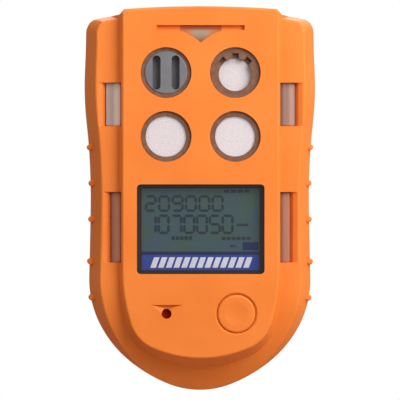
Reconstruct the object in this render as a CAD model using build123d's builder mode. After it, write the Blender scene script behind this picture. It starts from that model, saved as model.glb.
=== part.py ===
from build123d import *

import os
from math import radians, tan

# Portable four-gas detector: a clip-on unit with four sensors, a display and one button.
# Frame: +Z is up, the front faces -Y, and the origin is where a strap sits in the clip.
# Features are placed by their height above the housing's bottom tip and by their depth
# behind the front plate, both in mm.

os.makedirs("parts", exist_ok=True)

# Housing
HEIGHT = 135.0
DEPTH = 35.0
WALL = 2.3
SHELF_DEPTH = 3.7  # the side shelves lie this far behind the front plate
PARTING_DEPTH = 21.0  # the two covers meet here
BEVEL_DEPTH = 11.5  # the bevel round the shelves runs back to here
SHELF_FILLET = 0.7
BEVEL_FILLET = 5.0
SLOPE_START = 38.0  # the height where the lower end begins to curve backwards
SLOPE_DEPTH = 11.8
REAR_FILLET = 4.2
SHOULDER_HEIGHT = 134.4  # the middle of the top's long arc
# The right side's outline, as the ends of its tangent arcs from the tip upwards: x, height
SIDE_PLACES = (
    (11.5, 2.3),
    (24.5, 10.0),
    (34.3, 21.5),
    (38.9, 40.0),
    (38.4, 64.0),
    (38.6, 78.5),
    (39.8, 94.0),
    (40.4, 113.0),
    (40.0, 126.2),
    (37.2, 130.5),
)
# The front shelf's edge inside the bevel, in the same way: wide bevels beside it, a narrow one above
SHELF_BOTTOM = 3.6
SHELF_PLACES = (
    (10.1, 5.6),
    (22.3, 12.8),
    (31.2, 23.3),
    (35.3, 39.9),
    (34.8, 64.0),
    (35.0, 78.6),
    (36.2, 94.4),
    (36.8, 112.8),
    (36.5, 125.4),
    (34.4, 129.6),
)
SHELF_TOP = 133.2
# The raised front plate: its lower end, as tangent arcs from the middle outwards
TONGUE_BOTTOM = 11.4
TONGUE_PLACES = ((17.0, 15.0), (24.6, 23.5), (27.5, 42.0))
TONGUE_DRAFT = 18.0  # degrees, the slope of the plate's flank
TONGUE_BACK = 14.0
CROWN_CORNER = (26.8, 134.0)
CROWN_FOOT = (28.6, 132.0)
CROWN_BASE = 100.0  # inside the housing
CROWN_BACK = 3.0  # the block at the top ends this far before the rear face
PLATE_FILLET = 0.8
PLATE_HOLLOW = (24.8, 17.8, 129.0)  # half width, bottom, top
PLATE_HOLLOW_CORNER = 12.0
PLATE_HOLLOW_BACK = 10.0
GRIP_RIBS = ((38.6, 85.6), (38.0, 72.9), (38.1, 60.2), (38.5, 45.3), (38.0, 32.6))  # x, height
RIB_SIZE = (1.2, 1.1)
RIB_DEPTHS = (9.0, 29.5)
RIB_FILLET = 0.5
GROOVE_SINK = 0.5  # the shadow line where the covers meet
GROOVE_WIDTH = 0.4
SEAL_OUTER = 0.75  # the seal's edges lie this far inside the outline
SEAL_INNER = 1.65
SEAL_GAP = 0.05
SEAL_THICKNESS = 1.3
GRIP_HEIGHT = 80.0  # the strap in the clip, above the tip
GRIP_GAP = 4.2  # from the rear face to the strap's middle

# Sensors
SENSOR_X = 12.15
SENSOR_HEIGHTS = (111.7, 89.3)
SENSOR_PLACES = [(x, height) for height in SENSOR_HEIGHTS for x in (-SENSOR_X, SENSOR_X)]
SENSOR_OPENING_RADIUS = 8.9
SENSOR_RADIUS = 10.0
SENSOR_TOP = 3.7
SENSOR_BASE = 20.3
SENSOR_BOARD_DEPTH = 24.0
SENSOR_PIN_RADIUS = 0.75
PIN_CIRCLE_RADIUS = 6.75
GASKET_FRONT = 1.0
NOTCH_TURNS = (48, 90, 132)  # in the guard above the sunk filter
NOTCH_SIZE = (2.6, 2.3, 1.6)
CARRIER = (100.3, 51.0, 44.0)
CARRIER_DEPTHS = (8.5, 12.5)
CAP_FRONT = 0.7
CAP_SLOT = (12.0, 2.8)
CAP_SLOT_PITCH = 6.7
# Each sensor: x, height, filter hole radius, how far the hole sits below the middle, filter depth
SENSORS = {
    "flammable_sensor": (-SENSOR_X, SENSOR_HEIGHTS[0], 7.6, 0.0, SENSOR_TOP),
    "hydrogen_sulphide_sensor": (SENSOR_X, SENSOR_HEIGHTS[0], 5.8, 0.7, 3.1),
    "carbon_monoxide_sensor": (-SENSOR_X, SENSOR_HEIGHTS[1], 7.2, 0.0, 1.7),
    "oxygen_sensor": (SENSOR_X, SENSOR_HEIGHTS[1], 7.1, 0.0, 1.7),
}

# Display
DISPLAY_HEIGHT = 56.7  # the middle of the opening
DISPLAY_WIDTH = 44.8
DISPLAY_TALL = 31.5
DISPLAY_CORNER = 1.4
LCD_VIEW_HEIGHT = 59.9
LCD_VIEW = (41.4, 22.2)
LCD_VIEW_CORNER = 0.6
WINDOW_SINK = 0.9
WINDOW_FLANGE = (48.6, 35.0)
WINDOW_FLANGE_CORNER = 1.5
WINDOW_GAP = 0.15
MASK_DEPTH = 3.3
LCD_DEPTH = 3.5
LCD_HEIGHT = 58.6
LCD_GLASS = (47.0, 28.4, 2.4)
LCD_FRAME = (49.0, 31.0)
BACKLIGHT = (46.5, 23.8, 2.6)
LCD_CONNECTOR = (44.0, 1.7)
LCD_CONNECTOR_PITCH = 26.2

# Front controls
BUTTON_X = 12.5
SOUNDER_X = -12.0
CONTROL_HEIGHT = 27.0
BUTTON_HOLE_RADIUS = 6.9
BUTTON_GAP = 0.15
BUTTON_HOLE_BEVEL = 0.6
BUTTON_CREST = 4.2  # the radius of its dished middle
BUTTON_DISH = 0.3
BUTTON_ROUND = 0.9
BUTTON_TRAVEL = 0.7
BUTTON_FLANGE_RADIUS = 7.8
BUTTON_FLANGE_DEPTH = 2.6
PLUNGER_TOP = 5.2
PLUNGER_RADIUS = 1.6
PLUNGER_LENGTH = 2.2
STEM_RADIUS = 2.2
SWITCH_FRONT = 6.3
SWITCH_WIDTH = 6.0
SOUNDER_FRONT = 4.0
SOUNDER_RADIUS = 6.0
SOUNDER_HOLE = (1.2, 2.0)  # radius, depth
MESH_RADIUS = 3.8
MESH_THICKNESS = 0.3
SOUNDER_GASKET = (6.2, 4.0)

# Sounder port
PORT_TOP = 30.1
PORT_HALF_WIDTH = 5.9
PORT_TALL = 5.0
PORT_SINK = 1.2
PORT_HOLE_RADIUS = 1.75

# Status window at the top
SLOT_HEIGHT = 127.5
SLOT_TALL = 1.7
SLOT_HALF_WIDTH = 15.4
SLOT_SINK = 1.6
STATUS_HALF_WIDTH = 7.2
STATUS_TOP = 126.3
STATUS_TIP = 122.2
STATUS_GAP = 0.12
STATUS_FLANGE = (17.0, 7.2, 1.2)
STATUS_FLANGE_HEIGHT = 125.2
STATUS_PIPE = (6.0, 4.0)
STATUS_PIPE_HEIGHT = 125.3

# Alarm windows, one pair on each side
WINDOW_INNER = 28.0
UPPER_WINDOW = (33.3, 92.9, 108.2)  # outer edge at the lens, bottom, top
LOWER_WINDOW = (31.5, 45.0, 69.8)
WINDOW_LIP = 2.6  # the outer wall slopes out this far to the shelf
WINDOW_LEDGE = (1.5, 0.7)  # its gentle upper part: width, depth
LENS_DEPTH = 6.1
LENS_PLATE = 2.0
LENS_PAD = 1.0
LENS_GAP = 0.2
LENS_LAP = (1.1, 2.0)  # how far the plate reaches past the windows: inwards, up and down
LED_PLACES = ((30.4, 50.0), (30.4, 63.0), (-30.4, 50.0), (-30.4, 63.0))
LED_SIZE = (2.8, 3.2, 1.2)

# Boards
BOARD_THICKNESS = 1.6
MAIN_BOARD_DEPTH = 9.6
MAIN_BOARD_BACK = MAIN_BOARD_DEPTH + BOARD_THICKNESS
BOARD_SCREW_PLACES = ((22.0, 76.0), (-22.0, 76.0), (0.0, 22.0))
BOARD_SCREW_RADIUS = 0.9
BOARD_SCREW_LENGTH = 6.0
BOARD_SCREW_HEAD = 1.2
POST_RADIUS = 1.9
MAIN_BOARD_FIELDS = ((58.0, 68.0, 39.0), (32.0, 51.0, 29.0))  # height, width, tall
SENSOR_BOARD = (103.5, 53.0, 49.0)
LINK_WIDTH = 16.0
LINK_THICKNESS = 0.3
LINK_HEIGHTS = (64.0, 74.4, 76.4, 86.0)
# Parts on the back of the main board: x, height, width, height, thickness
BOARD_CHIPS = (
    (10.0, 22.0, 9.0, 4.0, 2.6),
    (-15.0, 58.0, 10.0, 10.0, 1.2),
    (4.0, 58.0, 7.0, 7.0, 1.0),
    (-24.0, 45.0, 5.0, 6.0, 1.4),
    (-26.0, 58.0, 4.0, 8.0, 2.2),
    (14.0, 46.0, 5.0, 4.0, 1.1),
    (-6.0, 44.0, 3.0, 5.0, 1.1),
    (28.0, 66.0, 6.0, 6.0, 2.8),
)

# Vibration motor, its axle along X
MOTOR_RADIUS = 3.5
MOTOR_HEIGHT = 52.0
MOTOR_DEPTH = 16.0
MOTOR_ENDS = (21.8, 30.0)
MOTOR_AXLE_RADIUS = 0.5
WEIGHT_RADIUS = 3.2
WEIGHT_ENDS = (30.6, 33.6)
WEIGHT_HUB_RADIUS = 1.4
BRACKET_THICKNESS = 0.7
BRACKET_FOOT = (0.6, 11.0)

# Battery
BATTERY = (38.0, 42.0, 11.0)  # width, height, thickness
BATTERY_HEIGHT = 48.5
BATTERY_DEPTH = 20.0
TRAY_FRONT = 24.0
TRAY_MARGIN = 2.6
TRAY_GAP = 0.4
PLUG_LENGTH = 2.0
LEAD_RADIUS = 0.55
LEAD_PLACES = (-2.0, 0.0, 2.0)

# Fasteners
CASE_SCREW_PLACES = ((31.0, 119.0), (-31.0, 119.0), (30.0, 33.5), (-30.0, 33.5))
BOSS_RADIUS = 3.6
INSERT_LENGTH = 6.0
INSERT_RADIUS = 2.1
THREAD_RADIUS = 1.5
SCREW_SEAT_DEPTH = 26.0
SCREW_HEAD_RADIUS = 2.75
SCREW_HEAD_HEIGHT = 2.4
SCREW_SINK_GAP = 0.35
SCREW_SOCKET = (1.3, 1.4)  # radius, depth
CLIP_BOSS_DEPTH = 27.0

# Contacts for the charging cradle, in the rear face
CONTACT_HEIGHT = 20.0
CONTACT_BLOCK = (24.0, 8.0)
CONTACT_PITCH = 5.6
CONTACT_RADIUS = 1.4
CONTACT_LENGTH = 4.6
CONTACT_SINK = 0.15
CONTACT_FLANGE = (26.4, 9.6, 1.3)

# Rating label, in a sunk field in the rear face
LABEL_HEIGHT = 45.0
LABEL_SIZE = (36.0, 24.0)
LABEL_SINK = 0.2

# Clip
SHEET = 1.0
CLIP_HALF_WIDTH = 10.0
CLIP_BOTTOM = 64.0
CLIP_TOP = 116.0
LEVER_HALF_WIDTH = 8.6
LEVER_WEB_DEPTH = 43.2  # the middle of the lever's sheet
PIN_RADIUS = 1.5
PIN_HEIGHT = 98.0
PIN_DEPTH = 39.6
EAR_RADIUS = 3.3
EAR_FOOT = 7.0
CLIP_SCREW_HEIGHTS = (76.0, 88.0)
CLIP_SCREW_RADIUS = 1.2
CLIP_HEAD_RADIUS = 2.75
SPRING_RADIUS = 2.3
WIRE_RADIUS = 0.4
COIL_LENGTH = 10.0
COIL_TURNS = 7
LEVER_ARM_DEPTH = 42.15
BASE_ARM_DEPTH = 36.75
ARM_TOP = 109.0
TOOTH_COUNT = 6
TOOTH_PITCH = 2.6
TOOTH_SIZE = (1.3, 1.4, 0.9)
TOOTH_HEIGHT = 65.1
JAW_BAR = (1.6, 1.3)
JAW_BAR_DEPTH = 38.0
LEVER_PLACES = ((37.9, 64.4), (43.2, 72.5), (43.2, 104.0), (48.8, 117.5))  # depth, height
LEVER_BEND = 4.0
PIN_HEAD = (2.3, 0.9)  # radius, thickness

FRONT_Y = -(DEPTH + GRIP_GAP)
TIP_Z = -GRIP_HEIGHT


def facing(depth, height=0.0):
    """Front view at a depth: x to the right, y upwards from height, normal to the viewer."""
    return Plane(origin=(0, FRONT_Y + depth, TIP_Z + height), x_dir=(1, 0, 0), z_dir=(0, -1, 0))


def side_view(x=0.0):
    """Side view: the plane's x is depth behind the front plate and its y is height."""
    return Plane(origin=(x, FRONT_Y, TIP_Z), x_dir=(0, 1, 0), z_dir=(1, 0, 0))


def finish(piece, label):
    """Names a finished piece and writes it as its own file."""
    piece.part.label = label
    export_step(piece.part, f"parts/{label}.step")


def plan_view(x, height):
    """A cut seen from above through a point: x across and y as depth from the front plate."""
    return Plane(origin=(x, FRONT_Y, TIP_Z + height), x_dir=(1, 0, 0), z_dir=(0, 0, 1))


def inwards(x, height):
    """The line that runs straight back into the housing at one place on its front."""
    return Axis((x, FRONT_Y, TIP_Z + height), (0, 1, 0))


def port_sketch(half_width, tall):
    """A hanging three-cornered shape with hollow flanks under the sounder port's top edge."""
    with BuildSketch(mode=Mode.PRIVATE) as shape:
        with BuildLine():
            top = Line((SOUNDER_X - half_width, PORT_TOP), (SOUNDER_X + half_width, PORT_TOP))
            hang = (SOUNDER_X, PORT_TOP - tall)
            flank_x = 0.42 * half_width
            flank_height = PORT_TOP - 0.42 * tall
            ThreePointArc(top @ 1, (SOUNDER_X + flank_x, flank_height), hang)
            ThreePointArc(hang, (SOUNDER_X - flank_x, flank_height), top @ 0)
        make_face()
    return shape.sketch


def status_sketch(gap):
    """The status window's opening, or the lens that stands in it with a gap all round."""
    with BuildSketch(mode=Mode.PRIVATE) as shape:
        with BuildLine():
            half_width = STATUS_HALF_WIDTH - gap
            rim = SLOT_HEIGHT + SLOT_TALL / 2 - gap
            tip = (0, STATUS_TIP + gap)
            flank_height = STATUS_TOP - 0.42 * (STATUS_TOP - STATUS_TIP)
            flank_x = 0.45 * half_width
            ThreePointArc(tip, (flank_x, flank_height), (half_width, STATUS_TOP))
            top = Polyline(
                (half_width, STATUS_TOP),
                (half_width, rim),
                (-half_width, rim),
                (-half_width, STATUS_TOP),
            )
            ThreePointArc(top @ 1, (-flank_x, flank_height), tip)
        make_face()
    return shape.sketch


# --- Housing form -------------------------------------------------------------------------


def half_round(start, places):
    """Tangent arcs from the middle line through each place in turn, on both sides."""
    reached = start
    way = (1, 0)
    for place in places:
        arc = TangentArc(reached, place, tangent=way)
        reached = arc @ 1
        way = arc % 1
    mirror(about=Plane.YZ)


with BuildSketch() as outline:
    with BuildLine():
        half_round((0, 0), SIDE_PLACES)
        ThreePointArc(SIDE_PLACES[-1], (0, SHOULDER_HEIGHT), (-SIDE_PLACES[-1][0], SIDE_PLACES[-1][1]))
    make_face()

with BuildSketch() as shelf_outline:
    with BuildLine():
        half_round((0, SHELF_BOTTOM), SHELF_PLACES)
        ThreePointArc(SHELF_PLACES[-1], (0, SHELF_TOP), (-SHELF_PLACES[-1][0], SHELF_PLACES[-1][1]))
    make_face()

with BuildSketch() as tongue_outline:
    with BuildLine():
        half_round((0, TONGUE_BOTTOM), TONGUE_PLACES)
        side, level = TONGUE_PLACES[-1]
        Polyline((side, level), (side, HEIGHT + 15), (-side, HEIGHT + 15), (-side, level))
    make_face()

with BuildSketch() as crown_outline:
    with BuildLine():
        ThreePointArc((-CROWN_CORNER[0], CROWN_CORNER[1]), (0, HEIGHT), CROWN_CORNER)
        Polyline(
            CROWN_CORNER,
            CROWN_FOOT,
            (CROWN_FOOT[0], CROWN_BASE),
            (-CROWN_FOOT[0], CROWN_BASE),
            (-CROWN_FOOT[0], CROWN_FOOT[1]),
            (-CROWN_CORNER[0], CROWN_CORNER[1]),
        )
    make_face()


def body_form(inset):
    """The housing behind its front plate, all its faces moved inwards by inset."""
    front = SHELF_DEPTH + inset
    rear = DEPTH - inset
    slope_end = front + SLOPE_DEPTH
    with BuildPart() as form:
        with BuildSketch(facing(BEVEL_DEPTH)):
            offset(outline.sketch, amount=-inset, kind=Kind.INTERSECTION)
        with BuildSketch(facing(front)):
            offset(shelf_outline.sketch, amount=-inset, kind=Kind.INTERSECTION)
        loft(ruled=True)
        with BuildSketch(facing(BEVEL_DEPTH)):
            offset(outline.sketch, amount=-inset, kind=Kind.INTERSECTION)
        extrude(amount=BEVEL_DEPTH - rear)
        with BuildSketch(side_view(-HEIGHT / 2)):
            with BuildLine():
                straight = Line((front, HEIGHT + 5), (front, SLOPE_START))
                TangentArc(straight @ 1, (slope_end, inset - 0.5), tangent=straight % 1)
                Polyline(
                    (slope_end, inset - 0.5),
                    (DEPTH + 1, inset - 0.5),
                    (DEPTH + 1, HEIGHT + 5),
                    (front, HEIGHT + 5),
                )
            make_face()
        extrude(amount=HEIGHT, mode=Mode.INTERSECT)
    return form


def rim_at(depth):
    """Picks the edges whose middles lie at one depth."""
    return lambda edge: abs(edge.center().Y - FRONT_Y - depth) < 0.01


with BuildPart() as tongue:
    with BuildSketch(facing(0)):
        add(tongue_outline.sketch)
    with BuildSketch(facing(TONGUE_BACK)):
        offset(tongue_outline.sketch, amount=TONGUE_BACK * tan(radians(TONGUE_DRAFT)), kind=Kind.INTERSECTION)
    loft(ruled=True)
    with BuildSketch(facing(0)):
        add(outline.sketch)
        add(crown_outline.sketch)
    extrude(amount=-DEPTH, mode=Mode.INTERSECT)

with BuildPart() as grip_ribs:
    with BuildSketch(facing(RIB_DEPTHS[0])):
        with Locations(*GRIP_RIBS):
            Ellipse(RIB_SIZE[0], RIB_SIZE[1])
        mirror(about=Plane.YZ)
    extrude(amount=RIB_DEPTHS[0] - RIB_DEPTHS[1])
    fillet(grip_ribs.edges().filter_by(GeomType.ELLIPSE), RIB_FILLET)

with BuildSketch() as silhouette:
    add(outline.sketch)
    add(crown_outline.sketch)

with BuildPart() as housing:
    add(body_form(0))
    fillet(housing.edges().filter_by(rim_at(BEVEL_DEPTH)), BEVEL_FILLET)
    fillet(housing.edges().filter_by(rim_at(SHELF_DEPTH)), SHELF_FILLET)
    fillet(housing.faces().sort_by(Axis.Y)[-1].edges(), REAR_FILLET)
    # The block at the middle of the top.
    with BuildSketch(facing(SHELF_DEPTH)):
        add(crown_outline.sketch)
    extrude(amount=SHELF_DEPTH - DEPTH + CROWN_BACK)
    add(tongue)
    fillet(housing.faces().sort_by(Axis.Y)[0].edges(), PLATE_FILLET)
    add(grip_ribs)
    # A shadow line round the joint between the covers.
    with BuildSketch(facing(PARTING_DEPTH - GROOVE_WIDTH / 2)):
        with Locations((0, HEIGHT / 2)):
            Rectangle(HEIGHT, HEIGHT + 10)
        offset(silhouette.sketch, amount=-GROOVE_SINK, kind=Kind.INTERSECTION, mode=Mode.SUBTRACT)
    extrude(amount=-GROOVE_WIDTH, mode=Mode.SUBTRACT)

cavity = body_form(WALL)


# --- Housing covers -----------------------------------------------------------------------

with BuildPart() as front_cover:
    add(housing)
    split(bisect_by=facing(PARTING_DEPTH), keep=Keep.TOP)
    add(cavity, mode=Mode.SUBTRACT)
    # Hollow behind the raised plate.
    with BuildSketch(facing(WALL)):
        with Locations((0, (PLATE_HOLLOW[1] + PLATE_HOLLOW[2]) / 2)):
            RectangleRounded(2 * PLATE_HOLLOW[0], PLATE_HOLLOW[2] - PLATE_HOLLOW[1], PLATE_HOLLOW_CORNER)
    extrude(amount=WALL - PLATE_HOLLOW_BACK, mode=Mode.SUBTRACT)
    # Posts for the main board.
    with BuildSketch(facing(WALL)):
        with Locations(*BOARD_SCREW_PLACES):
            Circle(POST_RADIUS)
    extrude(amount=WALL - MAIN_BOARD_DEPTH)
    with BuildSketch(facing(MAIN_BOARD_DEPTH)):
        with Locations(*BOARD_SCREW_PLACES):
            Circle(BOARD_SCREW_RADIUS + 0.05)
    extrude(amount=5.0, mode=Mode.SUBTRACT)
    # Screw bosses.
    with BuildSketch(facing(SHELF_DEPTH + WALL)):
        with Locations(*CASE_SCREW_PLACES):
            Circle(BOSS_RADIUS)
    extrude(amount=SHELF_DEPTH + WALL - PARTING_DEPTH)
    with BuildSketch(facing(PARTING_DEPTH)):
        with Locations(*CASE_SCREW_PLACES):
            Circle(INSERT_RADIUS)
    extrude(amount=INSERT_LENGTH + 3.0, mode=Mode.SUBTRACT)
    # Openings: sensors, display, button.
    with BuildSketch(facing(0)):
        with Locations(*SENSOR_PLACES):
            Circle(SENSOR_OPENING_RADIUS)
        with Locations((0, DISPLAY_HEIGHT)):
            RectangleRounded(DISPLAY_WIDTH, DISPLAY_TALL, DISPLAY_CORNER)
        with Locations((BUTTON_X, CONTROL_HEIGHT)):
            Circle(BUTTON_HOLE_RADIUS)
    extrude(amount=-WALL, mode=Mode.SUBTRACT)
    button_rim = front_cover.edges().filter_by(rim_at(0)).filter_by(GeomType.CIRCLE)
    chamfer(button_rim.sort_by_distance((BUTTON_X, FRONT_Y, TIP_Z + CONTROL_HEIGHT))[0], BUTTON_HOLE_BEVEL)
    # Sounder port: a sunk three-cornered dish with a hole.
    with BuildSketch(facing(0)) as port_mouth:
        add(port_sketch(PORT_HALF_WIDTH, PORT_TALL))
    with BuildSketch(facing(PORT_SINK)) as port_floor:
        add(port_sketch(PORT_HALF_WIDTH / 2.4, PORT_TALL / 2.0))
    loft(ruled=True, mode=Mode.SUBTRACT)
    with BuildSketch(facing(0)):
        with Locations((SOUNDER_X, CONTROL_HEIGHT)):
            Circle(PORT_HOLE_RADIUS)
    extrude(amount=-WALL, mode=Mode.SUBTRACT)
    # Alarm windows through both side shelves, their outer walls sloping out.
    for outer, bottom, top in (UPPER_WINDOW, LOWER_WINDOW):
        with BuildSketch(plan_view(0, bottom)):
            with BuildLine():
                lip = outer + WINDOW_LIP
                Polyline(
                    (WINDOW_INNER, 0),
                    (WINDOW_INNER, SHELF_DEPTH + WALL),
                    (outer, SHELF_DEPTH + WALL),
                    (lip - WINDOW_LEDGE[0], SHELF_DEPTH + WINDOW_LEDGE[1]),
                    (lip, SHELF_DEPTH),
                    (lip, 0),
                    (WINDOW_INNER, 0),
                )
            make_face()
            mirror(about=Plane.YZ)
        extrude(amount=top - bottom, mode=Mode.SUBTRACT)
    # Status window: a groove across the top with a three-cornered opening under it.
    with BuildSketch(facing(0)):
        with Locations((0, SLOT_HEIGHT)):
            Rectangle(2 * SLOT_HALF_WIDTH, SLOT_TALL)
    extrude(amount=-SLOT_SINK, mode=Mode.SUBTRACT)
    with BuildSketch(facing(0)):
        add(status_sketch(0))
    extrude(amount=-WALL, mode=Mode.SUBTRACT)
finish(front_cover, "front_cover")

with BuildPart() as rear_cover:
    add(housing)
    split(bisect_by=facing(PARTING_DEPTH), keep=Keep.BOTTOM)
    add(cavity, mode=Mode.SUBTRACT)
    # Screw bosses, sunk from the rear for the screw heads.
    with BuildSketch(facing(PARTING_DEPTH)):
        with Locations(*CASE_SCREW_PLACES):
            Circle(BOSS_RADIUS + 0.7)
    extrude(amount=PARTING_DEPTH - DEPTH + WALL)
    with BuildSketch(facing(PARTING_DEPTH)):
        with Locations(*CASE_SCREW_PLACES):
            Circle(THREAD_RADIUS + 0.2)
    extrude(amount=-DEPTH, mode=Mode.SUBTRACT)
    with BuildSketch(facing(SCREW_SEAT_DEPTH)):
        with Locations(*CASE_SCREW_PLACES):
            Circle(SCREW_HEAD_RADIUS + SCREW_SINK_GAP)
    extrude(amount=-DEPTH, mode=Mode.SUBTRACT)
    # Bosses for the clip's screws.
    with BuildSketch(facing(CLIP_BOSS_DEPTH)):
        for screw_height in CLIP_SCREW_HEIGHTS:
            with Locations((0, screw_height)):
                Circle(BOSS_RADIUS)
    extrude(amount=CLIP_BOSS_DEPTH - DEPTH + WALL)
    with BuildSketch(facing(CLIP_BOSS_DEPTH)):
        for screw_height in CLIP_SCREW_HEIGHTS:
            with Locations((0, screw_height)):
                Circle(CLIP_SCREW_RADIUS + 0.05)
    extrude(amount=-DEPTH, mode=Mode.SUBTRACT)
    # Seal groove, contact opening and the sunk field for the rating label.
    with BuildSketch(facing(PARTING_DEPTH)):
        offset(outline.sketch, amount=SEAL_GAP - SEAL_OUTER)
        offset(outline.sketch, amount=-SEAL_INNER - SEAL_GAP, mode=Mode.SUBTRACT)
    extrude(amount=-SEAL_THICKNESS - 2 * SEAL_GAP, mode=Mode.SUBTRACT)
    with BuildSketch(facing(DEPTH)):
        with Locations((0, CONTACT_HEIGHT)):
            RectangleRounded(CONTACT_BLOCK[0] + 0.1, CONTACT_BLOCK[1] + 0.1, 1.0)
    extrude(amount=WALL + 1, mode=Mode.SUBTRACT)
    with BuildSketch(facing(DEPTH)):
        with Locations((0, LABEL_HEIGHT)):
            RectangleRounded(LABEL_SIZE[0] + 1, LABEL_SIZE[1] + 1, 2.5)
    extrude(amount=LABEL_SINK, mode=Mode.SUBTRACT)
finish(rear_cover, "rear_cover")

with BuildPart() as perimeter_seal:
    with BuildSketch(facing(PARTING_DEPTH)):
        offset(outline.sketch, amount=-SEAL_OUTER)
        offset(outline.sketch, amount=-SEAL_INNER, mode=Mode.SUBTRACT)
    extrude(amount=-SEAL_THICKNESS)
finish(perimeter_seal, "perimeter_seal")

with BuildPart() as threaded_inserts:
    with BuildSketch(facing(PARTING_DEPTH)):
        with Locations(*CASE_SCREW_PLACES):
            Circle(INSERT_RADIUS - 0.02)
            Circle(THREAD_RADIUS, mode=Mode.SUBTRACT)
    extrude(amount=INSERT_LENGTH)
finish(threaded_inserts, "threaded_inserts")

with BuildPart() as case_screws:
    with BuildSketch(facing(SCREW_SEAT_DEPTH)):
        with Locations(*CASE_SCREW_PLACES):
            Circle(THREAD_RADIUS - 0.05)
    extrude(amount=SCREW_SEAT_DEPTH - PARTING_DEPTH + INSERT_LENGTH)
    with BuildSketch(facing(SCREW_SEAT_DEPTH)):
        with Locations(*CASE_SCREW_PLACES):
            Circle(SCREW_HEAD_RADIUS)
    extrude(amount=-SCREW_HEAD_HEIGHT)
    with BuildSketch(facing(SCREW_SEAT_DEPTH + SCREW_HEAD_HEIGHT)):
        with Locations(*CASE_SCREW_PLACES):
            RegularPolygon(SCREW_SOCKET[0], 6)
    extrude(amount=SCREW_SOCKET[1], mode=Mode.SUBTRACT)
finish(case_screws, "case_screws")


# --- Display stack ------------------------------------------------------------------------

with BuildPart() as display_window:
    with BuildSketch(facing(WALL)):
        with Locations((0, DISPLAY_HEIGHT)):
            RectangleRounded(WINDOW_FLANGE[0], WINDOW_FLANGE[1], WINDOW_FLANGE_CORNER)
    extrude(amount=WALL - MASK_DEPTH)
    with BuildSketch(facing(WALL)):
        with Locations((0, DISPLAY_HEIGHT)):
            gap = 2 * WINDOW_GAP
            RectangleRounded(DISPLAY_WIDTH - gap, DISPLAY_TALL - gap, DISPLAY_CORNER - WINDOW_GAP)
    extrude(amount=WALL - WINDOW_SINK)
finish(display_window, "display_window")

with BuildPart() as display_mask:
    with BuildSketch(facing(MASK_DEPTH)):
        with Locations((0, DISPLAY_HEIGHT)):
            RectangleRounded(WINDOW_FLANGE[0], WINDOW_FLANGE[1], WINDOW_FLANGE_CORNER)
        with Locations((0, LCD_VIEW_HEIGHT)):
            RectangleRounded(LCD_VIEW[0], LCD_VIEW[1], LCD_VIEW_CORNER, mode=Mode.SUBTRACT)
    extrude(amount=MASK_DEPTH - LCD_DEPTH)
finish(display_mask, "display_mask")

with BuildPart() as lcd_glass:
    with BuildSketch(facing(LCD_DEPTH)):
        with Locations((0, LCD_HEIGHT)):
            Rectangle(LCD_GLASS[0], LCD_GLASS[1])
    extrude(amount=-LCD_GLASS[2])
finish(lcd_glass, "lcd_glass")

with BuildPart() as lcd_frame:
    with BuildSketch(facing(LCD_DEPTH)):
        with Locations((0, LCD_HEIGHT)):
            RectangleRounded(LCD_FRAME[0], LCD_FRAME[1], 1.0)
            Rectangle(LCD_GLASS[0] + 0.3, LCD_GLASS[1] + 0.3, mode=Mode.SUBTRACT)
    extrude(amount=LCD_DEPTH - MAIN_BOARD_DEPTH)
finish(lcd_frame, "lcd_frame")

with BuildPart() as backlight_guide:
    with BuildSketch(facing(LCD_DEPTH + LCD_GLASS[2])):
        with Locations((0, LCD_HEIGHT)):
            Rectangle(BACKLIGHT[0], BACKLIGHT[1])
    extrude(amount=-BACKLIGHT[2])
finish(backlight_guide, "backlight_guide")

with BuildPart() as lcd_connectors:
    with BuildSketch(facing(LCD_DEPTH + LCD_GLASS[2])):
        with Locations((0, LCD_HEIGHT)):
            with GridLocations(1, LCD_CONNECTOR_PITCH, 1, 2):
                Rectangle(LCD_CONNECTOR[0], LCD_CONNECTOR[1])
    extrude(amount=LCD_DEPTH + LCD_GLASS[2] - MAIN_BOARD_DEPTH)
finish(lcd_connectors, "lcd_connectors")


# --- Boards -------------------------------------------------------------------------------

with BuildPart() as main_board:
    with BuildSketch(facing(MAIN_BOARD_DEPTH)):
        for height, width, tall in MAIN_BOARD_FIELDS:
            with Locations((0, height)):
                RectangleRounded(width, tall, 1.0)
        with Locations(*BOARD_SCREW_PLACES):
            Circle(BOARD_SCREW_RADIUS + 0.2, mode=Mode.SUBTRACT)
    extrude(amount=-BOARD_THICKNESS)
finish(main_board, "main_board")

with BuildPart() as board_screws:
    with BuildSketch(facing(MAIN_BOARD_BACK)):
        with Locations(*BOARD_SCREW_PLACES):
            Circle(POST_RADIUS)
    extrude(amount=-BOARD_SCREW_HEAD)
    with BuildSketch(facing(MAIN_BOARD_BACK)):
        with Locations(*BOARD_SCREW_PLACES):
            Circle(BOARD_SCREW_RADIUS)
    extrude(amount=BOARD_SCREW_LENGTH)
finish(board_screws, "board_screws")

with BuildPart() as board_components:
    for x, height, width, tall, thick in BOARD_CHIPS:
        with BuildSketch(facing(MAIN_BOARD_BACK)):
            with Locations((x, height)):
                Rectangle(width, tall)
        extrude(amount=-thick)
finish(board_components, "board_components")

with BuildPart() as sensor_board:
    with BuildSketch(facing(SENSOR_BOARD_DEPTH)):
        with Locations((0, SENSOR_BOARD[0])):
            RectangleRounded(SENSOR_BOARD[1], SENSOR_BOARD[2], 2.0)
    extrude(amount=-BOARD_THICKNESS)
finish(sensor_board, "sensor_board")

with BuildPart() as board_link:
    with BuildSketch(side_view(-LINK_WIDTH / 2)):
        with BuildLine():
            back = SENSOR_BOARD_DEPTH + BOARD_THICKNESS + 0.2
            front = MAIN_BOARD_BACK + 0.2
            FilletPolyline(*zip((front, front, back, back), LINK_HEIGHTS), radius=1.5)
        trace(line_width=LINK_THICKNESS)
    extrude(amount=LINK_WIDTH)
finish(board_link, "board_link")

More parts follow.
